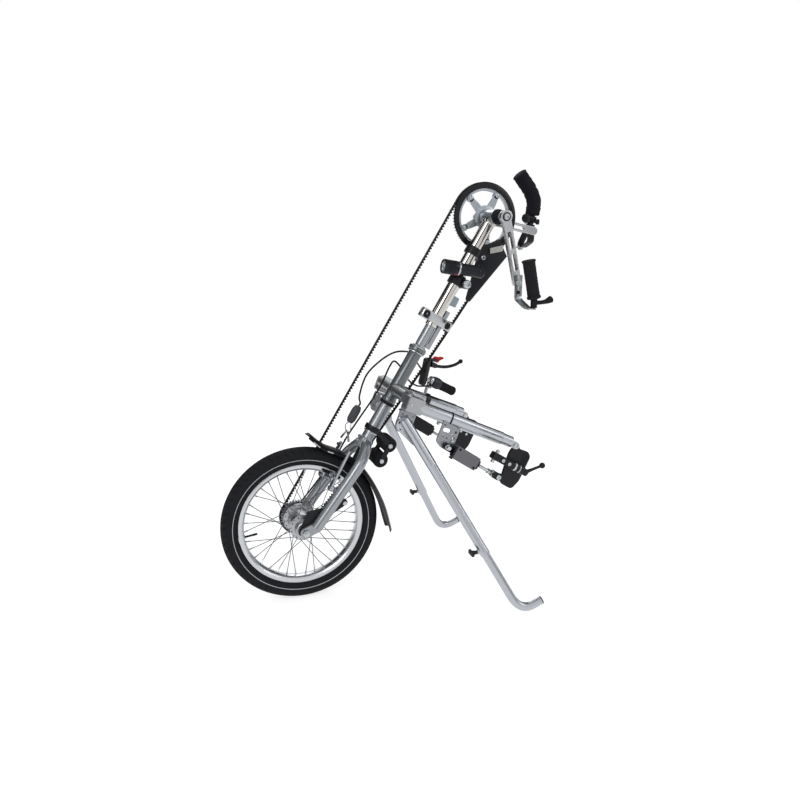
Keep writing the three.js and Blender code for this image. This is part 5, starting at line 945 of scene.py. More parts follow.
# LINK's X runs from the arm's hanger plate along the housing and the rod.
LINK = inside(ARMS, 122, 0, -77, 10.986)
for side, label in SIDES:
    # The far, right housing takes the black coat as painted shade.
    paint = link_paint if side < 0 else coated
    face = rounded([(20, -16.8), (90, -16.8), (90, 16.8), (20, 16.8)], 2.2)
    inner = [(20.3, -16.5), (89.7, -16.5), (89.7, -5), (62, -5), (62, 5), (89.7, 5), (89.7, 16.5),
             (20.3, 16.5)]
    housing = joined(side_plate(LINK, face, side, 149, 3, edge=0.8),
                     side_plate(LINK, inner, side, 151.8, 12.4, edge=0.3),
                     side_plate(LINK, face, side, 164, 3, edge=0.8))
    piece("link_housing_" + label, housing, paint, "link_" + label, ["link_box_" + label])
    ends = [side_plate(LINK, rounded([(16, -14), (21, -14), (21, 14), (16, 14)], 1.5), side, 150.5, 15,
                       edge=1),
            side_plate(LINK, rounded([(90.2, 5.2), (94, 5.2), (96, 6), (96, 8), (94, 12), (90.2, 12)], 1),
                       side, 151, 14, edge=0.8),
            side_plate(LINK,
                       rounded([(90.2, -12), (94, -12), (96, -8), (96, -6), (94, -5.2), (90.2, -5.2)], 1),
                       side, 151, 14, edge=0.8),
            lathe(LINK, (90.4, side * LINK_SIDE, 0), (1, 0, 0),
                  [(4.6, 0), (6.2, 0), (6.6, 0.6), (6.6, 6), (6.2, 6.6), (4.6, 6.6)], 32, True),
            side_plate(LINK, bar_outline((0, 0), (22, 0), 8.9, 8.9, 10), side, 144.3, 8.7,
                       [round_hole(0, 0, BOLT_HOLE)], edge=0.8),
            screw(LINK, (20, side * LINK_SIDE, -16), (0, 0, -1), 5, 4),
            screw(LINK, (27, side * 166.8, 11), (0, side, 0), 3, 1.6),
            screw(LINK, (84, side * 166.8, -11), (0, side, 0), 3, 1.6)]
    piece("link_ends_" + label, joined(*ends), coated, "link_" + label)
    start = LINK_LENGTH - 22
    fork_eye = bar_outline((start + 9, 0), (LINK_LENGTH, 0), 8.8, 8.8, 12)
    parts = [lathe(LINK, (92, side * LINK_SIDE, 0), (1, 0, 0), [(3.9, 0), (3.9, start - 90)], 20)]
    parts += [lathe(LINK, (98 + 1.6 * k, side * LINK_SIDE, 0), (1, 0, 0),
                    [(3.8, 0), (4.3, 0.6), (3.8, 1.2)], 20, True) for k in range(18)]
    parts.append(screw(LINK, (127, side * LINK_SIDE, 0), (1, 0, 0), 7, 5, hexagon=True))
    parts.append(side_plate(LINK,
                            rounded([(start, -7), (start + 6, -7), (start + 6, 7), (start, 7)], 1.5),
                            side, 149.8, 16.4, edge=0.8))
    parts.append(screw(LINK, (LINK_LENGTH, side * 166.3, 0), (0, side, 0), 6.4, 3))
    parts.append(lathe(LINK, (LINK_LENGTH, side * 147.7, 0), (0, side, 0), [(4.8, 0), (4.8, 18)], 20))
    piece("link_screw_" + label, joined(*parts), zinc, "link_rod_" + label, ["link_rod_" + label])
    cheeks = [side_plate(LINK, fork_eye, side, y, 4, edge=0.8) for y in CHEEKS]
    piece("link_eye_" + label, joined(*cheeks), coated, "link_rod_" + label)

# Stand
# Each leg is a clear anodised tube welded to a pivot plate, with a smaller tube that slides in it, is
# held by a wing knob and turns up at the ground. The pivot plates are perforated steel.

# STAND stands upright in the legs' hinge, and PLATE is tilted with the arms.
STAND = frame_at(axle_middle.x + 0.237972, 0.466034)
LEG_TOP = Vector((3, 120, 8))
LEG_FOOT = Vector((248, 265, 13.3 - 466.034))
leg_unit = (LEG_FOOT - LEG_TOP).normalized()
LEG_SPLIT = 0.7 * (LEG_FOOT - LEG_TOP).length
PLATE = inside(STAND, turn=ARM_TURN)


def on_side(side, place):
    """A place given for the right side, or its mirror image on the left."""
    return Vector((place.x, side * place.y, place.z))


for side, label in SIDES:
    outline = rounded([(-20.9, 33), (23, 33), (24, -8), (12, -20), (-12, -20), (-20.5, -6)], 7, 5)
    holes = [round_hole(x, z, r, 16)
             for x, z,
             r in ((-13, 26, 2.4), (15, 26, 2.4), (1, 24, 2.2), (17, 12, 2.6), (-15, 12, 2.2),
                   (-13, -6, 2), (15, -4, 2), (2, -13, 2.2))]
    plate = side_plate(PLATE, outline, side, 106, 4, holes, edge=0.6)
    flange = side_plate(PLATE, rounded([(-20.9, 29.1), (23, 29.1), (23, 33), (-20.9, 33)], 0.8), side,
                        97.2, 10, edge=0.5)
    piece("pivot_plate_" + label, joined(plate, flange), plate_metal, "frame", ["stand_plate_" + label])
    weld = LEG_TOP + leg_unit * 60
    leg_plate = side_plate(STAND, bar_outline((0, 0), (weld.x, weld.z), 19.6, 12.4, 14), side, 110.3, 4,
                           [round_hole(0, 0, BOLT_HOLE), round_hole(-11, 7, 3, 14),
                            round_hole(-9, -10, 2.2, 14), round_hole(11, 8, 2.2, 14)], edge=0.6)
    upper = [LEG_TOP + leg_unit * s
             for s in (-8, 0, 118, 121, 124, LEG_SPLIT - 14, LEG_SPLIT - 12, LEG_SPLIT)]
    radii = [12.2, 12.5, 12.5, 12.5, 12.1, 12.1, 12.5, 12.5]
    boss_root = LEG_TOP + leg_unit * (LEG_SPLIT - 8)
    boss = lathe(STAND, on_side(side, boss_root), (-1, 0, 0), [(5.8, 0), (5.8, 18), (5.2, 18.5)], 24)
    piece("leg_tube_" + label,
          joined(tube(STAND, [on_side(side, p) for p in upper], radii, 40), leg_plate, boss), arm_metal,
          "stand_leg_" + label, ["stand_leg_" + label], angle=40)
    bolt = joined(screw(STAND, (0, side * 114.3, 0), (0, side, 0), 8.5, 4.4, hexagon=True),
                  lathe(STAND, (0, side * 114.2, 0), (0, side, 0), [(12, 0), (12, 0.9), (8, 1.1)], 32),
                  lathe(STAND, (0, side * 102, 0), (0, side, 0), [(9, 0), (9, 4), (5, 4.2), (5, 12)], 6))
    piece("leg_bolt_" + label, bolt, zinc, "frame")
    heading = Vector((0.93, 0, 0.37)).normalized()
    corner = LEG_FOOT + leg_unit * 9
    before, after = corner - leg_unit * 48, corner + heading * 40
    bend = bent(before, corner, after, 16)
    lower = [LEG_TOP + leg_unit * (LEG_SPLIT - 60)] + bend + [corner + heading * 60]
    piece("foot_tube_" + label, tube(STAND, [on_side(side, p) for p in lower], 10.5, 36), arm_metal,
          "stand_foot_" + label, ["stand_foot_" + label], angle=40)
    end = on_side(side, corner + heading * 59.6)
    piece("foot_plug_" + label,
          lathe(STAND, end, on_side(side, heading),
                [(8, 0), (10.4, 0.6), (10.4, 2.4), (9.4, 3.6), (4, 4)], 32), black_rubber,
          "stand_foot_" + label, ["foot_cap_" + label])
    face = on_side(side, boss_root) + Vector((-18.5, 0, 0))
    wing = sheet_shape(inside(STAND, face.x, face.y, face.z),
                       rounded([(-13, -2), (-12, -6), (-5, -5), (0, -6), (5, -5), (12, -6), (13, -2),
                                (13, 2), (12, 6), (5, 5), (0, 6), (-5, 5), (-12, 6), (-13, 2)], 2.5, 3),
                       -17.6, 7, plane="YZ", edge=1.6)
    knob = joined(wing,
                  lathe(STAND, face, (-1, 0, 0),
                        [(3, 0.3), (4.5, 0.5), (5.6, 9), (6.4, 13), (6, 17), (3, 18.4)], 28))
    piece("wing_knob_" + label, knob, black_plastic, "stand_knob_" + label, ["stand_knob_" + label])

# Column
# A chromed steel tube that slides on the steerer, with the crank's bearing shell welded across its top.
# A milled aluminium block clamps it at its height, and a band below the cranks holds the belt guard.

CRANK = frame_at(crank_middle.x, crank_middle.z, STEER_TURN)
# Polished chrome mirrors the room in long, sharp streaks.
chrome_tube = finish("chromed steel tube, polished", "chrome", "c4c1bd", roughness=0.1, metallic=1.0,
                     grain_mm=3.0, shade=0.02, gloss=0.03, relief_mm=0.001)
tube_profile = [(13.4, 597), (15.4, 597), (16, 597.8), (16, crank_along - 15), (13.4, crank_along - 15)]
shell_profile = [(15.4, -34), (18.2, -34), (19, -33), (19, 33), (18.2, 34), (15.4, 34)]
weld_bead = [(15.8, crank_along - 20.5), (17.4, crank_along - 18), (18.4, crank_along - 14),
             (15, crank_along - 12)]
piece("column_tube",
      joined(lathe(STEER, (0, 0, 0), (0, 0, 1), tube_profile, 72, True),
             lathe(STEER, (0, 0, 0), (0, 0, 1), weld_bead, 48, True)), chrome_tube, "column", ["column"])
piece("bearing_shell", lathe(CRANK, (0, 0, 0), (0, 1, 0), shell_profile, 64, True), arm_metal, "column")
# Milled and polished aluminium is bright, with sharp edges of light.
clamp_metal = finish("milled aluminium, polished", "satin_aluminium", "b2b4b7", roughness=0.22,
                     metallic=1.0, grain_mm=0.8)
block = rounded([(-44, -12), (-16, -20), (16, -20), (50, -12), (50, 12), (16, 20), (-16, 20), (-44, 12)],
                8, 5)
bore = [(16.3 * math.cos(a), 16.3 * math.sin(a))
        for a in (math.radians(-25 - 310 * k / 40) for k in range(41))]
bore += [(27.7, 7.2), (27.7, -7.2)]
piece("clamp_block", sheet_shape(STEER, block, 605, 24, [bore], plane="XY", edge=1.6), clamp_metal,
      "column", ["height_clamp"])
# Black rings raised on the block's face are painted shade standing in for its pockets, beside black bolts.
pocket_shades_and_bolts = [lathe(STEER, (-31, -16.8, 617), (0, -1, 0),
                 [(5.8, 0), (9.6, 0), (9.8, 0.8), (9, 1.6), (6.4, 1.4)], 28, True),
           lathe(STEER, (33, -15.8, 617), (0, -1, 0),
                 [(5.8, 0), (9, 0), (9.2, 0.8), (8.4, 1.6), (6.2, 1.4)], 28, True),
           screw(STEER, (33, -15.6, 617), (0, -1, 0), 6, 4),
           lathe(STEER, (44, 0, 602.8), (0, 0, 1), [(7, 0), (7.6, 0.6), (7.6, 28), (7, 28.6)], 28)]
piece("clamp_pocket_shades_and_bolts", joined(*pocket_shades_and_bolts), black_paint, "column")
bright_bolts = [screw(STEER, (30.3, -8, 812), (0, -1, 0), 5.6, 3.6),
                screw(STEER, (20.3, -25.6, 730), (0, -1, 0), 9.8, 5.6),
                lathe(STEER, (20.3, -24, 730), (0, -1, 0), [(11.8, 0), (11.8, 2), (9.8, 2.4)], 32)]
piece("band_bolts", joined(*bright_bolts), zinc, "column")
# Clear polycarbonate sheet looks pale and slightly blue against white.
tag_sheet = finish("polycarbonate, pale blue grey", "grey_plastic", "b9c8d2", roughness=0.3, shade=0.04,
                   gloss=0.03)
tag = sheet_shape(STEER, rounded([(24, 668), (46, 672), (44, 697), (24, 697)], 2.5), 26, 2, edge=0.5)
piece("belt_guide_plate", tag, tag_sheet, "column")
bar = sheet_shape(STEER, rounded([(58, 838), (86, 862), (80, 877), (50, 850)], 2), 30, 4.6, edge=0.8)
# Mill-finish aluminium is pale, a little yellow and dull.
angle_metal = finish("aluminium angle, mill finish", "satin_aluminium", "b1b0ac", roughness=0.4,
                     metallic=0.8, grain_mm=0.7, shade=0.06, relief_mm=0.005)
piece("guard_stay", bar, angle_metal, "column")
dress("ring_clamp", black_paint)
dress("clamp_bolt", black_paint)
dress("belt_guard", black_plastic)
dress("bottom_bracket", black_paint)

# Headlamp
# A turned aluminium torch, black anodised, with a bright ring between head and barrel and a lens with
# three light-emitting diodes.

# Moulded plastic, dyed right through, is an even, bright red.
red_plastic = finish("moulded plastic, red", "red_plastic", "cf1f2b", roughness=0.4, grain_mm=0.4,
                     gloss=0.04, relief_mm=0.01)
LAMP_START = Vector((-62, -31.5, 735.3))
LAMP_END = Vector((39.8, -31.5, 775.9))
lamp_way = (LAMP_END - LAMP_START).normalized()
lamp_length = (LAMP_END - LAMP_START).length
# Black anodising leaves a dark metal sheen along the barrel.
lamp_black = finish("aluminium, black anodised", "black_paint", "1c1d25", roughness=0.3, metallic=0.6,
                    shade=0.08)
profile = [(3, 3.4), (14.4, 3.4), (14.8, 0.2), (17, 0), (18, 1), (18, 7)]
for k in range(5):
    profile += [(18, 9 + 4 * k), (17.2, 9.6 + 4 * k), (17.2, 11.2 + 4 * k), (18, 11.8 + 4 * k)]
profile += [(18, 35), (16.4, 38), (15, 39.5), (15, 92), (14.2, 93), (14.2, 95), (15, 96),
            (15, lamp_length - 3), (12.5, lamp_length - 0.3), (3, lamp_length)]
piece("lamp_barrel", lathe(STEER, LAMP_START, lamp_way, profile, 56), lamp_black, "headlamp",
      ["headlamp"], angle=30)
ring = [(15.2, 0), (17.6, 0.4), (17.9, 1.4), (17.9, 3.8), (17.6, 4.8), (15.2, 5.2)]
piece("lamp_ring", lathe(STEER, LAMP_START + lamp_way * 38.5, lamp_way, ring, 56, True), clamp_metal,
      "headlamp")
# A clear lens over a dark reflector looks middle grey with a sharp shine.
lens_clear = finish("polycarbonate lens, clear", "", "8e969c", roughness=0.08, grain_mm=1.0, shade=0.1,
                    gloss=0.02, relief_mm=0.002, coat=0.5)
piece("lamp_lens",
      lathe(STEER, LAMP_START + lamp_way * 3.4, -lamp_way,
            [(14.4, 0), (14.2, 0.8), (11, 1.7), (6, 2.3), (2, 2.5)], 40), lens_clear, "headlamp")
across = lamp_way.orthogonal().normalized()
above = lamp_way.cross(across)
diodes = []
for k in range(3):
    angle = 2 * math.pi * k / 3
    spot = LAMP_START + lamp_way * 1.2 + 7 * (math.cos(angle) * across + math.sin(angle) * above)
    diodes.append(lathe(STEER, spot, -lamp_way, [(3.4, 0), (3.2, 0.6), (1.6, 1.0), (0.4, 1.1)], 16))
# The diodes' epoxy domes are white and glossy.
diode_white = finish("epoxy lens, white", "", "dfe3e6", roughness=0.15, grain_mm=1.0, shade=0.03,
                     gloss=0.02, relief_mm=0.002)
piece("lamp_diodes", joined(*diodes), diode_white, "headlamp")
mark_side = Vector((0, -1, 0))
mark_up = mark_side.cross(lamp_way)
mark = [STEER @ (LAMP_START + lamp_way * along
                 + 18.2 * (math.cos(a) * mark_side - math.sin(a) * mark_up)) for along in (32, 37)
        for a in (math.radians(d) for d in (50, 56, 62, 68, 74))]
mark_faces = [(i, i + 1, i + 6, i + 5) for i in range(4)]
mark_piece = piece("lamp_mark", (mark, mark_faces), red_plastic, "headlamp")
thick = mark_piece.modifiers.new("thick", "SOLIDIFY")
thick.thickness = 0.5 * MM
thick.offset = 0
dress("headlamp_mount", black_plastic)

# Cranks
# Forged aluminium, brushed, with two slots each. The right one carries a five-armed spider with the
# toothed pulley and its black guide ring; both are held on the spindle by a socket bolt.

# Forged and brushed aluminium is light, with a grain along the arm.
crank_metal = finish("forged aluminium, satin", "bright_aluminium", "b9bbbe", roughness=0.28,
                     metallic=1.0, grain_mm=0.8, stretch=(6, 1, 1))
# The two arms point apart, and each lies in a frame whose X runs from the spindle to its handle.
LEFT_CRANK = inside(CRANK, turn=45.7)
RIGHT_CRANK = inside(CRANK, turn=-19.1)
arm_line = (arc_points(0, 0, 16.2, 47, 313, 26) + [(24, -11.6), (60, -11.2), (118, -10.4),
                                                   (146, -10.6)] + arc_points(162, 0, 11.4, -80, 80,
                                                                              14) + [(146, 10.6),
                                                                                     (118, 10.4),
                                                                                     (60, 11.2),
                                                                                     (24, 11.6)])
SLOTS = ((40.5, 75), (94, 128))
CRANK_OUTSIDE = 83
CRANK_THICKNESS = 13


def slot_outline(ends, radius):
    """A slot along the crank between two places, with round ends."""
    return bar_outline((ends[0], 0), (ends[1], 0), radius, radius, 8)


slots = [slot_outline(ends, 5)[::-1] for ends in SLOTS]
linings = []
for frame_matrix, near, label in ((LEFT_CRANK, -CRANK_OUTSIDE, "left"),
                                  (RIGHT_CRANK, CRANK_OUTSIDE - CRANK_THICKNESS, "right")):
    arm = sheet_shape(frame_matrix, arm_line, near, CRANK_THICKNESS, slots, edge=1.5)
    piece("crank_arm_" + label, arm, crank_metal, "cranks", ["crank_" + label])
    for ends in SLOTS:
        linings.append(sheet_shape(frame_matrix, slot_outline(ends, 5.3), near + 0.9, 11.2,
                                   [slot_outline(ends, 4.4)[::-1]], edge=0.2))
piece("crank_slot_linings", joined(*linings), crank_metal, "cranks")
caps = [lathe(LEFT_CRANK, (0, -CRANK_OUTSIDE, 0), (0, -1, 0),
              [(7.4, 0), (10.6, 0), (10.8, 0.6), (10.2, 1.3), (7.6, 1.3)], 40, True),
        lathe(LEFT_CRANK, (0, -CRANK_OUTSIDE, 0), (0, -1, 0), [(7.2, 0.1), (6.8, 0.3)], 32),
        lathe(RIGHT_CRANK, (0, CRANK_OUTSIDE, 0), (0, 1, 0),
              [(7.4, 0), (10.6, 0), (10.8, 0.6), (10.2, 1.3), (7.6, 1.3)], 40, True)]
piece("crank_rings", joined(*caps), black_paint, "cranks")
heads = [screw(LEFT_CRANK, (0, -CRANK_OUTSIDE, 0), (0, -1, 0), 6.6, 3.4, socket=0.55),
         screw(RIGHT_CRANK, (0, CRANK_OUTSIDE, 0), (0, 1, 0), 6.6, 3.4),
         lathe(CRANK, (0, -84, 0), (0, 1, 0), [(7.9, 0), (7.9, 168)], 32)]
piece("crank_bolts", joined(*heads), zinc, "cranks")
# Cast and brushed aluminium is a cool light grey.
spider_metal = finish("cast aluminium, brushed", "bright_aluminium", "a6adb3", roughness=0.34,
                      metallic=1.0, grain_mm=0.6, shade=0.08, gloss=0.06, relief_mm=0.008)
BOLT_CIRCLE = 62
spider_angles = [math.radians(91.2 + 72 * i) for i in range(5)]
star = []
for k in range(200):
    a = 2 * math.pi * k / 200
    off = min(abs((a - s + math.pi) % (2 * math.pi) - math.pi) for s in spider_angles)
    reach = 27 + 42 * math.exp(-(off / math.radians(13)) ** 2)
    star.append((reach * math.cos(a), reach * math.sin(a)))
spider = [sheet_shape(CRANK, star, 38.7, 4, edge=1.2),
          lathe(CRANK, (0, 36.2, 0), (0, 1, 0),
                [(16.4, 2.4), (19, 0), (23, 0.3), (30, 2.6), (30, 4), (16.4, 4)], 64, True),
          lathe(CRANK, (0, 42, 0), (0, 1, 0), [(8, 0), (21, 0), (21, 20), (18, 28.4), (8, 28.4)], 48)]
spider += [lathe(CRANK, (BOLT_CIRCLE * math.cos(a), 38.7, BOLT_CIRCLE * math.sin(a)), (0, 1, 0),
                 [(4, 0), (8, 0), (8.6, 0.8), (8.6, 4.2), (4, 4.2)], 32, True) for a in spider_angles]
piece("spider", joined(*spider), spider_metal, "cranks")
ring_bolts = [screw(CRANK, (BOLT_CIRCLE * math.cos(a), 39, BOLT_CIRCLE * math.sin(a)), (0, -1, 0), 4.6,
                    2.6, socket=0.5) for a in spider_angles]
piece("spider_bolts", joined(*ring_bolts), zinc, "cranks")
ears = [lathe(CRANK, (BOLT_CIRCLE * math.cos(a), 43, BOLT_CIRCLE * math.sin(a)), (0, 1, 0),
              [(4.3, 0), (8.8, 0), (8.8, 5), (4.3, 5)], 28, True) for a in spider_angles]
ears.append(lathe(CRANK, (0, 43.2, 0), (0, 1, 0), [(66, 0), (71, 0), (71, 9.6), (66, 9.6)], 120, True))
piece("pulley_web", joined(*ears), spider_metal, "cranks")
guard = [(72, 39.7), (84.4, 39.7), (85.8, 40.4), (86, 41.2), (86, 42.7), (72, 42.7), (71.6, 41.2)]
# Polished acetal is black with a clear shine.
ring_black = finish("acetal, black, polished", "black_plastic", "121318", roughness=0.28, shade=0.1)
piece("guide_ring", lathe(CRANK, (0, 0, 0), (0, 1, 0), guard, 120, True), ring_black, "cranks",
      ["pulley_guard"])

# Handles
# Each hangs on a bent steel strip that turns on the crank's end. The left grip is moulded rubber with a
# cross-cut surface and a hand rest; the right one is thick foam on a bent tube, with a clamp and knobs.

# Foam rubber is black and quite matt, with open cells that show as a coarse grain.
foam = finish("foam rubber, black", "foam", "15151d", roughness=0.92, grain_mm=1.2, shade=0.25,
              gloss=0.03, relief_mm=0.25)


def strip_shape(frame_matrix, line, thickness, width):
    """A bent strip of even thickness whose line lies upright across the travel."""
    spots = [Vector(p) for p in line]
    smooth_line = [spots[0]]
    for a, b, c in zip(spots, spots[1:], spots[2:]):
        start, end = b + (a - b).normalized() * 8, b + (c - b).normalized() * 8
        smooth_line += bent(start, b, end, 4)
    smooth_line.append(spots[-1])
    upper, lower = [], []
    for i, spot in enumerate(smooth_line):
        ahead = (smooth_line[min(i + 1, len(smooth_line) - 1)] - smooth_line[max(i - 1, 0)]).normalized()
        out = Vector((-ahead.y, ahead.x)) * thickness / 2
        upper.append(tuple(spot + out))
        lower.append(tuple(spot - out))
    return sheet_shape(frame_matrix, upper + lower[::-1], -width / 2, width, plane="YZ", edge=0.5)


# The handles' frames stand upright at the crank ends. Strips and grips lie this far from the middle.
STRIP_SIDE = 85.8
LEFT_GRIP_SIDE = 149.3
RIGHT_GRIP_SIDE = 143.3
LEFT_HANDLE = frame_at(axle_middle.x + 0.546091, 0.797388)
RIGHT_HANDLE = frame_at(axle_middle.x + 0.667775, 0.921214)
bracket_left = [(-STRIP_SIDE + y, z) for y, z in ((0, 18), (0, -41), (-50, -58), (-75, -58))]
piece("handle_strip_left", strip_shape(LEFT_HANDLE, bracket_left, 3, 20), zinc, "handle_left",
      ["handle_bracket_left"])
bracket_right = [(STRIP_SIDE - y, z) for y, z in ((0, 16), (0, -28), (-39, -44), (-65, -44))]
piece("handle_strip_right", strip_shape(RIGHT_HANDLE, bracket_right, 3, 20), black_paint, "handle_right",
      ["handle_bracket_right"])
nuts = [screw(LEFT_HANDLE, (0, -87, 0), (0, -1, 0), 8, 5, hexagon=True),
        lathe(LEFT_HANDLE, (0, -83.6, 0), (0, 1, 0), [(5, 0), (5, 6)], 20),
        lathe(LEFT_HANDLE, (0, -83, 0), (0, -1, 0), [(9.6, 0), (9.6, 1.1), (8.4, 1.4)], 32)]
piece("handle_nut_left", joined(*nuts), zinc, "handle_left")
# A thin black disc on the strip's face is painted shade that stands in for a hole.
hole_shade = [lathe(LEFT_HANDLE, (0, -87.2, -24), (0, -1, 0), [(4.6, 0), (4.6, 0.5), (3, 0.6)], 24)]
piece("handle_hole_shade_left", joined(*hole_shade), black_paint, "handle_left")
nuts = [screw(RIGHT_HANDLE, (0, 87, 0), (0, 1, 0), 8, 5, hexagon=True),
        lathe(RIGHT_HANDLE, (0, 83.6, 0), (0, -1, 0), [(5, 0), (5, 6)], 20),
        lathe(RIGHT_HANDLE, (0, RIGHT_GRIP_SIDE, -46.6), (0, 0, -1), [(9, 0), (9, 1.4), (6, 1.8), (6, 5)],
              24), screw(RIGHT_HANDLE, (8, 133, 22), (0, -1, 0), 4.6, 3)]
piece("handle_nut_right", joined(*nuts), zinc, "handle_right")
grip_foot, grip_head = Vector((10, -LEFT_GRIP_SIDE, -34)), Vector((-9, -LEFT_GRIP_SIDE, 57))
grip_way = (grip_head - grip_foot).normalized()
grip_length = (grip_head - grip_foot).length
grip_side = Vector((0, 1, 0))
grip_up = grip_way.cross(grip_side)
grip_loops = []
GRIP_RINGS = 90
for i in range(GRIP_RINGS):
    along = grip_length * i / (GRIP_RINGS - 1)
    loop = []
    for k in range(72):
        a = 2 * math.pi * k / 72
        turns = 9 * k / 72
        lines = min((turns + along / 13) % 1, (turns - along / 13) % 1)
        radius = 15 - (0.9 if lines < 0.2 else 0)
        if along < 6 or along > grip_length - 5:
            radius = 16.8
        elif along < 15:
            radius = 15.4 if int(along / 1.6) % 2 else 14.4
        if i in (0, GRIP_RINGS - 1):
            radius = 15.4
        loop.append(LEFT_HANDLE @ (grip_foot + grip_way * along
                                   + radius * (math.cos(a) * grip_side + math.sin(a) * grip_up)))
    grip_loops.append(loop)
core = lathe(LEFT_HANDLE, (10, -LEFT_GRIP_SIDE, -56), (0, 0, 1), [(7.6, 0), (8, 0.5), (8, 22), (7, 24)], 28)
piece("grip_rubber_left", joined(rings(grip_loops), core), black_rubber, "handle_left", ["grip_left"],
      angle=50)
rest = spline([(10, -LEFT_GRIP_SIDE, -43.5), (26, -LEFT_GRIP_SIDE, -44), (42, -LEFT_GRIP_SIDE, -42),
               (52, -LEFT_GRIP_SIDE, -38.4), (60, -LEFT_GRIP_SIDE, -35)], 6)
rest_radii = [6.2 - 1.2 * math.sin(math.pi * min(1, i / 14)) + 2.6 * max(0, (i - 12) / 9)
              for i in range(len(rest))]
rest_radii[-3:] = [7.6, 6, 2.6]
piece("hand_rest", tube(LEFT_HANDLE, rest, rest_radii, 28), black_rubber, "handle_left")
bar_line = spline([(0, RIGHT_GRIP_SIDE, -42), (3, RIGHT_GRIP_SIDE, -28), (24, RIGHT_GRIP_SIDE, 12),
                   (31, RIGHT_GRIP_SIDE, 32), (34, RIGHT_GRIP_SIDE, 58)], 8)
piece("handle_tube_right", tube(RIGHT_HANDLE, bar_line, 9, 28), black_paint, "handle_right", ["grip_right"])
foam_line = spline([(33, RIGHT_GRIP_SIDE, 42), (36, RIGHT_GRIP_SIDE, 78), (23, RIGHT_GRIP_SIDE, 108),
                    (3, RIGHT_GRIP_SIDE, 133), (-12, RIGHT_GRIP_SIDE, 151)], 14)
foam_radii = [20 + 0.5 * math.cos(i * 0.8) - (1.6 if i % 19 == 9 else 0) for i in range(len(foam_line))]
foam_radii[:2] = [17.6, 19.4]
foam_radii[-5:] = [18.6, 20.6, 20.8, 20.4, 18]
piece("foam_grip_right", tube(RIGHT_HANDLE, foam_line, foam_radii, 40), foam, "handle_right")
clamp_parts = [lathe(RIGHT_HANDLE, (29.5, RIGHT_GRIP_SIDE, 27), (0.25, 0, 1),
                     [(9.2, 0), (13.4, 0.3), (13.8, 1.4), (13.8, 10.6), (13.4, 12), (9.2, 12.4)], 36,
                     True),
               lathe(RIGHT_HANDLE, (19, 134, 34), (-1, -0.35, 0),
                     [(6, 0), (6, 5), (11.6, 6), (12, 8), (12, 17), (11, 18.6), (3, 19)], 12),
               lathe(RIGHT_HANDLE, (34, 132, 24), (0.7, -0.6, 0),
                     [(4, 0), (4, 4), (7.6, 5), (7.8, 12), (6.6, 13.4), (2, 13.6)], 10)]
piece("handle_clamp_right", joined(*clamp_parts), black_plastic, "handle_right")

# Hand controls
# They stand on the right arm: a lever housing with a brake lever and a red parking lock, and a twist
# shifter with a ribbed rubber sleeve, both on one bright clamp rod.

# The clamp rod stands over the right arm, ROD_SIDE from the middle.
ROD_SIDE = 137
arm_way = (Vector((280.5, 157, -14.7)) - Vector((15, ARM_SIDE, -10.3))).normalized()
ring_foot = Vector((151, ROD_SIDE, -12.55)) - arm_way * 6
control_black = [lathe(ARMS, ring_foot, arm_way,
                       [(16.3, 0), (19, 0.3), (19.3, 1.2), (19.3, 10.8), (19, 11.7), (16.3, 12)], 48, True)]
hood = spline([(123, ROD_SIDE, 23), (120.5, ROD_SIDE, 42), (118, ROD_SIDE, 62), (114, ROD_SIDE, 84),
               (111, ROD_SIDE, 99)], 7)
hood_radii = [9.5, 11.6] + [13] * (len(hood) - 6) + [13, 12.4, 11, 8]
control_black.append(tube(ARMS, hood, hood_radii, 32, squash=0.86))
for low in (129.7, 141.3):
    control_black.append(sheet_shape(ARMS, bar_outline((112, 86), (138, 86), 8, 7, 10), low, 3, edge=0.5))
    control_black.append(sheet_shape(ARMS, bar_outline((112, 93), (136, 102), 4.4, 3.6, 10), low, 3,
                                     edge=0.5))
control_black.append(sheet_shape(ARMS, rounded([(108, 78), (132, 78), (126, 98), (108, 99)], 4), 129.7,
                                 14.6, edge=1.6))
# Painted castings are black with a low shine.
housing_black = finish("cast aluminium, painted black", "black_paint", "15161d", roughness=0.38,
                       metallic=0.1, shade=0.1, relief_mm=0.01)
piece("lever_housing", joined(*control_black), housing_black, "frame", ["lever_body"], angle=40)
rod_parts = [tube(ARMS,
                  spline([(143, ROD_SIDE, 2), (141.5, ROD_SIDE, 16), (142, ROD_SIDE, 30),
                          (144.5, ROD_SIDE, 43)], 6), 5, 24),
             tube(ARMS, [(124, ROD_SIDE, 42), (146, ROD_SIDE, 42.6)], 4.6, 20),
             lathe(ARMS, (140, ROD_SIDE, 43), (74, 0, -7),
                   [(4, 0), (12.6, 0), (13.6, 1), (13.6, 7.4), (12.6, 8.4), (4, 8.4)], 40),
             screw(ARMS, (146, 131.4, 26), (0, -1, 0), 5, 4),
             screw(ARMS, (134, 131.4, 41), (0, -1, 0), 4.4, 3.4)]
piece("control_rod", joined(*rod_parts), clamp_metal, "frame")
BLADE = inside(ARMS, 138, ROD_SIDE, 86)
blade = spline([(0, 0, 0), (12, 0, 1), (36, 0, 8), (58, 0, 22), (69, 0, 35)], 8)
blade_radii = [5.4, 5.2, 5, 4.8, 4.6, 4.4, 4.2, 4] + [3.9] * (len(blade) - 8)
lever_shape = joined(tube(BLADE, blade, blade_radii, 20, squash=1.15),
                     lathe(BLADE, (0, -3.9, 0), (0, 1, 0),
                           [(2.3, 0), (6.8, 0.2), (7, 0.8), (7, 7), (6.8, 7.6), (2.3, 7.8)], 32, True),
                     ball(BLADE, (70, 0, 36), 6.5))
piece("brake_blade", lever_shape, lamp_black, "brake_lever", ["brake_lever"])
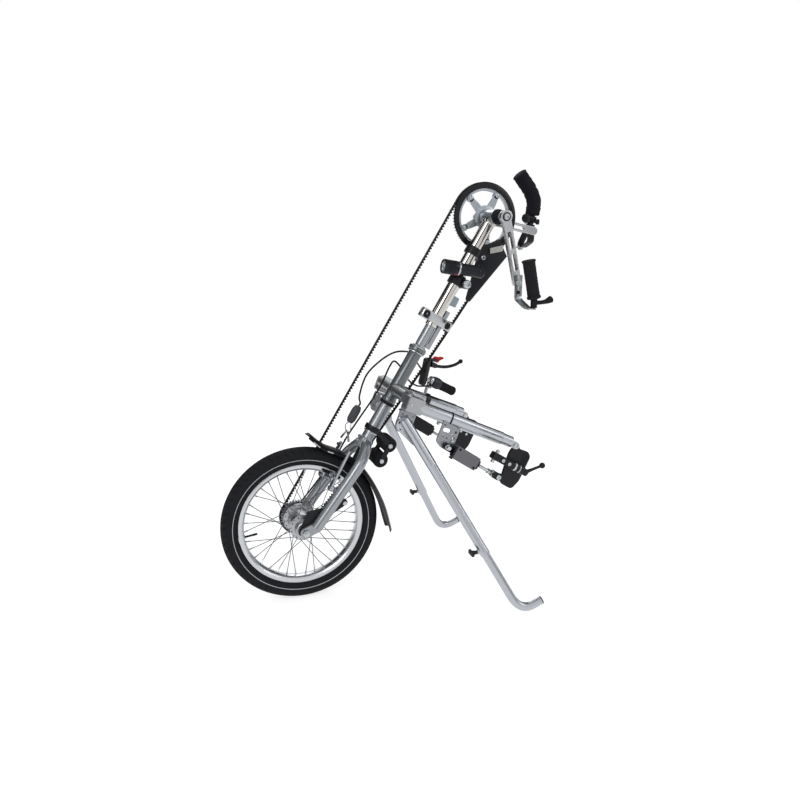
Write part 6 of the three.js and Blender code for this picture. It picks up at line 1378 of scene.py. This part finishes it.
LOCK = inside(ARMS, 136, ROD_SIDE, 102)
lock_line = rounded([(-10, 4), (-6, 9), (2, 8.5), (8, 12), (17, 14), (20, 10), (13, 4), (9, -1), (9, -5),
                     (5, -6.6), (-2, -6.6), (-8, -7), (-10, -1)], 4, 4)
piece("lock_lever", sheet_shape(LOCK, lock_line, -4, 8, [round_hole(0, 0, 2.3, 12)], edge=1.4),
      red_plastic, "parking_lock", ["parking_lock"])
TWIST = inside(ARMS, 150, ROD_SIDE, 42)
twist_way = Vector((74, 0, -7)).normalized()
twist_side = Vector((0, 1, 0))
twist_up = twist_way.cross(twist_side)
collar = [(4.6, 0), (14, 0), (16, 1.6), (16, 17), (15, 22), (13.4, 25), (4.6, 25)]
# The shifter's collar is moulded nylon, a dark grey.
collar_grey = finish("moulded nylon, dark grey", "grey_plastic", "32343b", roughness=0.36, grain_mm=0.4,
                     shade=0.08, relief_mm=0.01)
piece("shifter_collar", lathe(TWIST, (0, 0, 0), twist_way, collar, 48, True), collar_grey, "shifter",
      ["shifter"])
sleeve_loops = []
for along, radius, ribbed in ((25, 12.2, 0), (26, 13, 1), (44, 12.6, 1), (58, 12.4, 1), (69, 13, 1),
                              (71, 12.4, 0), (74, 10, 0)):
    loop = []
    for k in range(96):
        a = 2 * math.pi * k / 96
        r = radius - (0.9 if ribbed and k % 6 in (0, 1) else 0)
        loop.append(TWIST @ (twist_way * along + r * (math.cos(a) * twist_side + math.sin(a) * twist_up)))
    sleeve_loops.append(loop)
piece("shifter_sleeve", rings(sleeve_loops), black_rubber, "shifter", angle=30)
piece("shifter_end", lathe(TWIST, twist_way * 66, twist_way, [(9, 7), (9, 8.2), (6, 8.3)], 32),
      clamp_metal, "shifter")

# Cables
# The brake cable leaves an in-line barrel above the fork and ends in the lever housing, and the gear
# cable runs from the hub along the fork. Both are steel in a black plastic housing, held on the frame.

# A cable's housing is black plastic with a low shine.
cable_black = finish("cable housing, black", "black_rubber", "131317", roughness=0.4, grain_mm=0.4,
                     shade=0.1)
CABLE_RADIUS = 2.4
brake_line = spline([(-63, 0, 332.4), (-63, 0, 340), (-74, 3, 357), (-83, 6, 409), (-66.6, 14, 457.6),
                     (-41.7, 26, 491.9), (-12, 40, 509), (18, 62, 514), (52, 90, 502), (84, 112, 492),
                     (97.6, 127, 492)], 8)
brake_tube = piece("brake_line", tube(STEER, brake_line, CABLE_RADIUS, 12), cable_black, None,
                   ["brake_cable"])
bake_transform(brake_tube)
gear_line = spline([(-46, 74.5, 9.7), (-46, 75, 24), (-37.5, 77, 70), (-31, 77.2, 113),
                    (-23.2, 72.8, 180), (-26, 64, 243), (-30, 40, 304.5), (-27, 32, 368.6),
                    (-27, 32, 414.6), (-29, 36, 455), (-22, 44, 474), (8.6, 58, 468.1), (50.3, 80, 449.8),
                    (88, 98, 446), (114, 108, 455), (136.7, 120, 464.7), (136.7, 133.6, 464.7)], 8)
gear_tube = piece("gear_line", tube(STEER, gear_line, CABLE_RADIUS, 12), cable_black, None, ["shift_cable"])
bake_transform(gear_tube)
barrel = lathe(STEER, (-63, 0, 284), (0, 0, 1),
               [(5, 0), (7.6, 0.4), (8.5, 1.4), (11.4, 9), (12, 12), (12, 36), (11.4, 39), (8.5, 46.6),
                (7.6, 47.6), (4, 48)], 8)
# The barrel is moulded rubber, dark grey, with a soft shine.
barrel_grey = finish("moulded rubber, dark grey", "grey_plastic", "47484e", roughness=0.42, grain_mm=0.4,
                     shade=0.08, relief_mm=0.02)
piece("cable_barrel", barrel, barrel_grey, "fork", ["cable_junction"], bevel=1.2, angle=30)
noodle = tube(STEER,
              spline([(-50, 36, 236), (-51, 26, 251), (-56, 6, 262), (-57, -14, 259), (-51, -30, 244)],
                     8), 2.8, 16)
piece("brake_noodle", noodle, brake_metal, "fork")
wires = [tube(STEER, spline([(-63, 0, 288), (-69, 0, 274), (-58, 2, 260)], 6), 1.2, 8),
         tube(STEER, spline([(-61, 0, 288), (-52, 0, 272), (-44, 8, 250), (-44, 24, 236)], 6), 0.9, 8)]
piece("brake_wires", joined(*wires), stainless, "fork")

# Studio
# A white floor and a white sky, a large soft lamp from the front left, and two weaker ones from the
# right and from behind. The camera stands where the photograph was taken from.


def lamp(name, place, target, size, power):
    """A square soft lamp that points at a target."""
    data = bpy.data.lights.new(name, "AREA")
    data.size = size
    data.energy = power
    holder = bpy.data.objects.new(name, data)
    bpy.context.scene.collection.objects.link(holder)
    holder.location = place
    holder.rotation_euler = (Vector(target) - Vector(place)).to_track_quat("-Z", "Y").to_euler()
    return holder


lamp("key_lamp", (-2.2, -2.4, 2.6), (0, 0, 0.45), 2.0, 42)
lamp("fill_lamp", (2.4, -1.6, 1.8), (0, 0, 0.45), 1.6, 16)
lamp("rear_lamp", (0.6, 2.6, 2.4), (0, 0, 0.5), 1.6, 16)


def backdrop_factor(tree):
    """One where a ray comes from the camera, a mirror or glass, and nought elsewhere."""
    path = add_node(tree, "ShaderNodeLightPath")
    first = add_node(tree, "ShaderNodeMath",
                     {0: path.outputs["Is Camera Ray"], 1: path.outputs["Is Glossy Ray"]},
                     operation="MAXIMUM")
    return add_node(tree, "ShaderNodeMath", {0: first.outputs[0], 1: path.outputs["Is Transmission Ray"]},
                    operation="MAXIMUM").outputs[0]


world = bpy.data.worlds.new("studio")
bpy.context.scene.world = world
world.use_nodes = True
background = world.node_tree.nodes["Background"]
background.inputs["Color"].default_value = linear("ffffff")
world.node_tree.links.new(spread(world.node_tree, backdrop_factor(world.node_tree), 0.55, 1.0),
                          background.inputs["Strength"])
floor_mesh = bpy.data.meshes.new("floor")
FLOOR_HALF = 30
floor_mesh.from_pydata([(-FLOOR_HALF, -FLOOR_HALF, 0), (FLOOR_HALF, -FLOOR_HALF, 0),
                        (FLOOR_HALF, FLOOR_HALF, 0), (-FLOOR_HALF, FLOOR_HALF, 0)], [], [(0, 1, 2, 3)])
floor = bpy.data.objects.new("floor", floor_mesh)
bpy.context.scene.collection.objects.link(floor)
floor_material = bpy.data.materials.new("matt floor, white")
floor_material.use_nodes = True
floor_tree = floor_material.node_tree
floor_shader = floor_tree.nodes["Principled BSDF"]
floor_shader.inputs["Base Color"].default_value = linear("bcbcbc")
floor_shader.inputs["Roughness"].default_value = 1.0
floor_shader.inputs["Specular IOR Level"].default_value = 0.0
floor_shader.inputs["Emission Color"].default_value = linear("ffffff")
floor_tree.links.new(spread(floor_tree, backdrop_factor(floor_tree), 0.0, 0.72),
                     floor_shader.inputs["Emission Strength"])
floor_mesh.materials.append(floor_material)
# Dark cards stand round the object and hang over it, and give the metal its streaks. Only mirrored
# rays meet them.
card_material = bpy.data.materials.new("black card")
card_material.use_nodes = True
card_shader = card_material.node_tree.nodes["Principled BSDF"]
card_shader.inputs["Base Color"].default_value = linear("2b2c30")
card_shader.inputs["Roughness"].default_value = 1.0
card_shader.inputs["Specular IOR Level"].default_value = 0.0
CARD_WAY = 3.2
# Each upright card spans two compass angles round the object, in degrees.
cards = []
for first, last in ((18, 66), (104, 156), (176, 205), (240, 262), (306, 326), (340, 356)):
    sides = [(CARD_WAY * math.cos(math.radians(a)), CARD_WAY * math.sin(math.radians(a)))
             for a in (first, last)]
    cards.append([(x, y, z) for (x, y), z in zip(sides + sides[::-1], (-0.4, -0.4, 3.4, 3.4))])
for low, high in ((-1.3, -0.7), (0.2, 1.6)):
    cards.append([(x, y, 3.1) for x, y in ((-3, low), (3, low), (3, high), (-3, high))])
for count, card in enumerate(cards):
    mesh = bpy.data.meshes.new("card")
    mesh.from_pydata(card, [], [(0, 1, 2, 3)])
    mesh.materials.append(card_material)
    sheet = bpy.data.objects.new("card_%d" % count, mesh)
    bpy.context.scene.collection.objects.link(sheet)
    sheet.visible_camera = False
    sheet.visible_diffuse = False
    sheet.visible_transmission = False
    sheet.visible_shadow = False
camera_data = bpy.data.cameras.new("camera")
camera_data.lens = 32.2
camera_data.sensor_width = 36
camera = bpy.data.objects.new("camera", camera_data)
bpy.context.scene.collection.objects.link(camera)
CAMERA_DOWN = 13.464
CAMERA_TURN = -18.376
camera.location = (axle_middle.x - 0.296, -1.691, 0.927)
camera.rotation_euler = (math.radians(90 - CAMERA_DOWN), 0, math.radians(CAMERA_TURN))
bpy.context.scene.camera = camera
bpy.context.scene.view_settings.view_transform = "Standard"
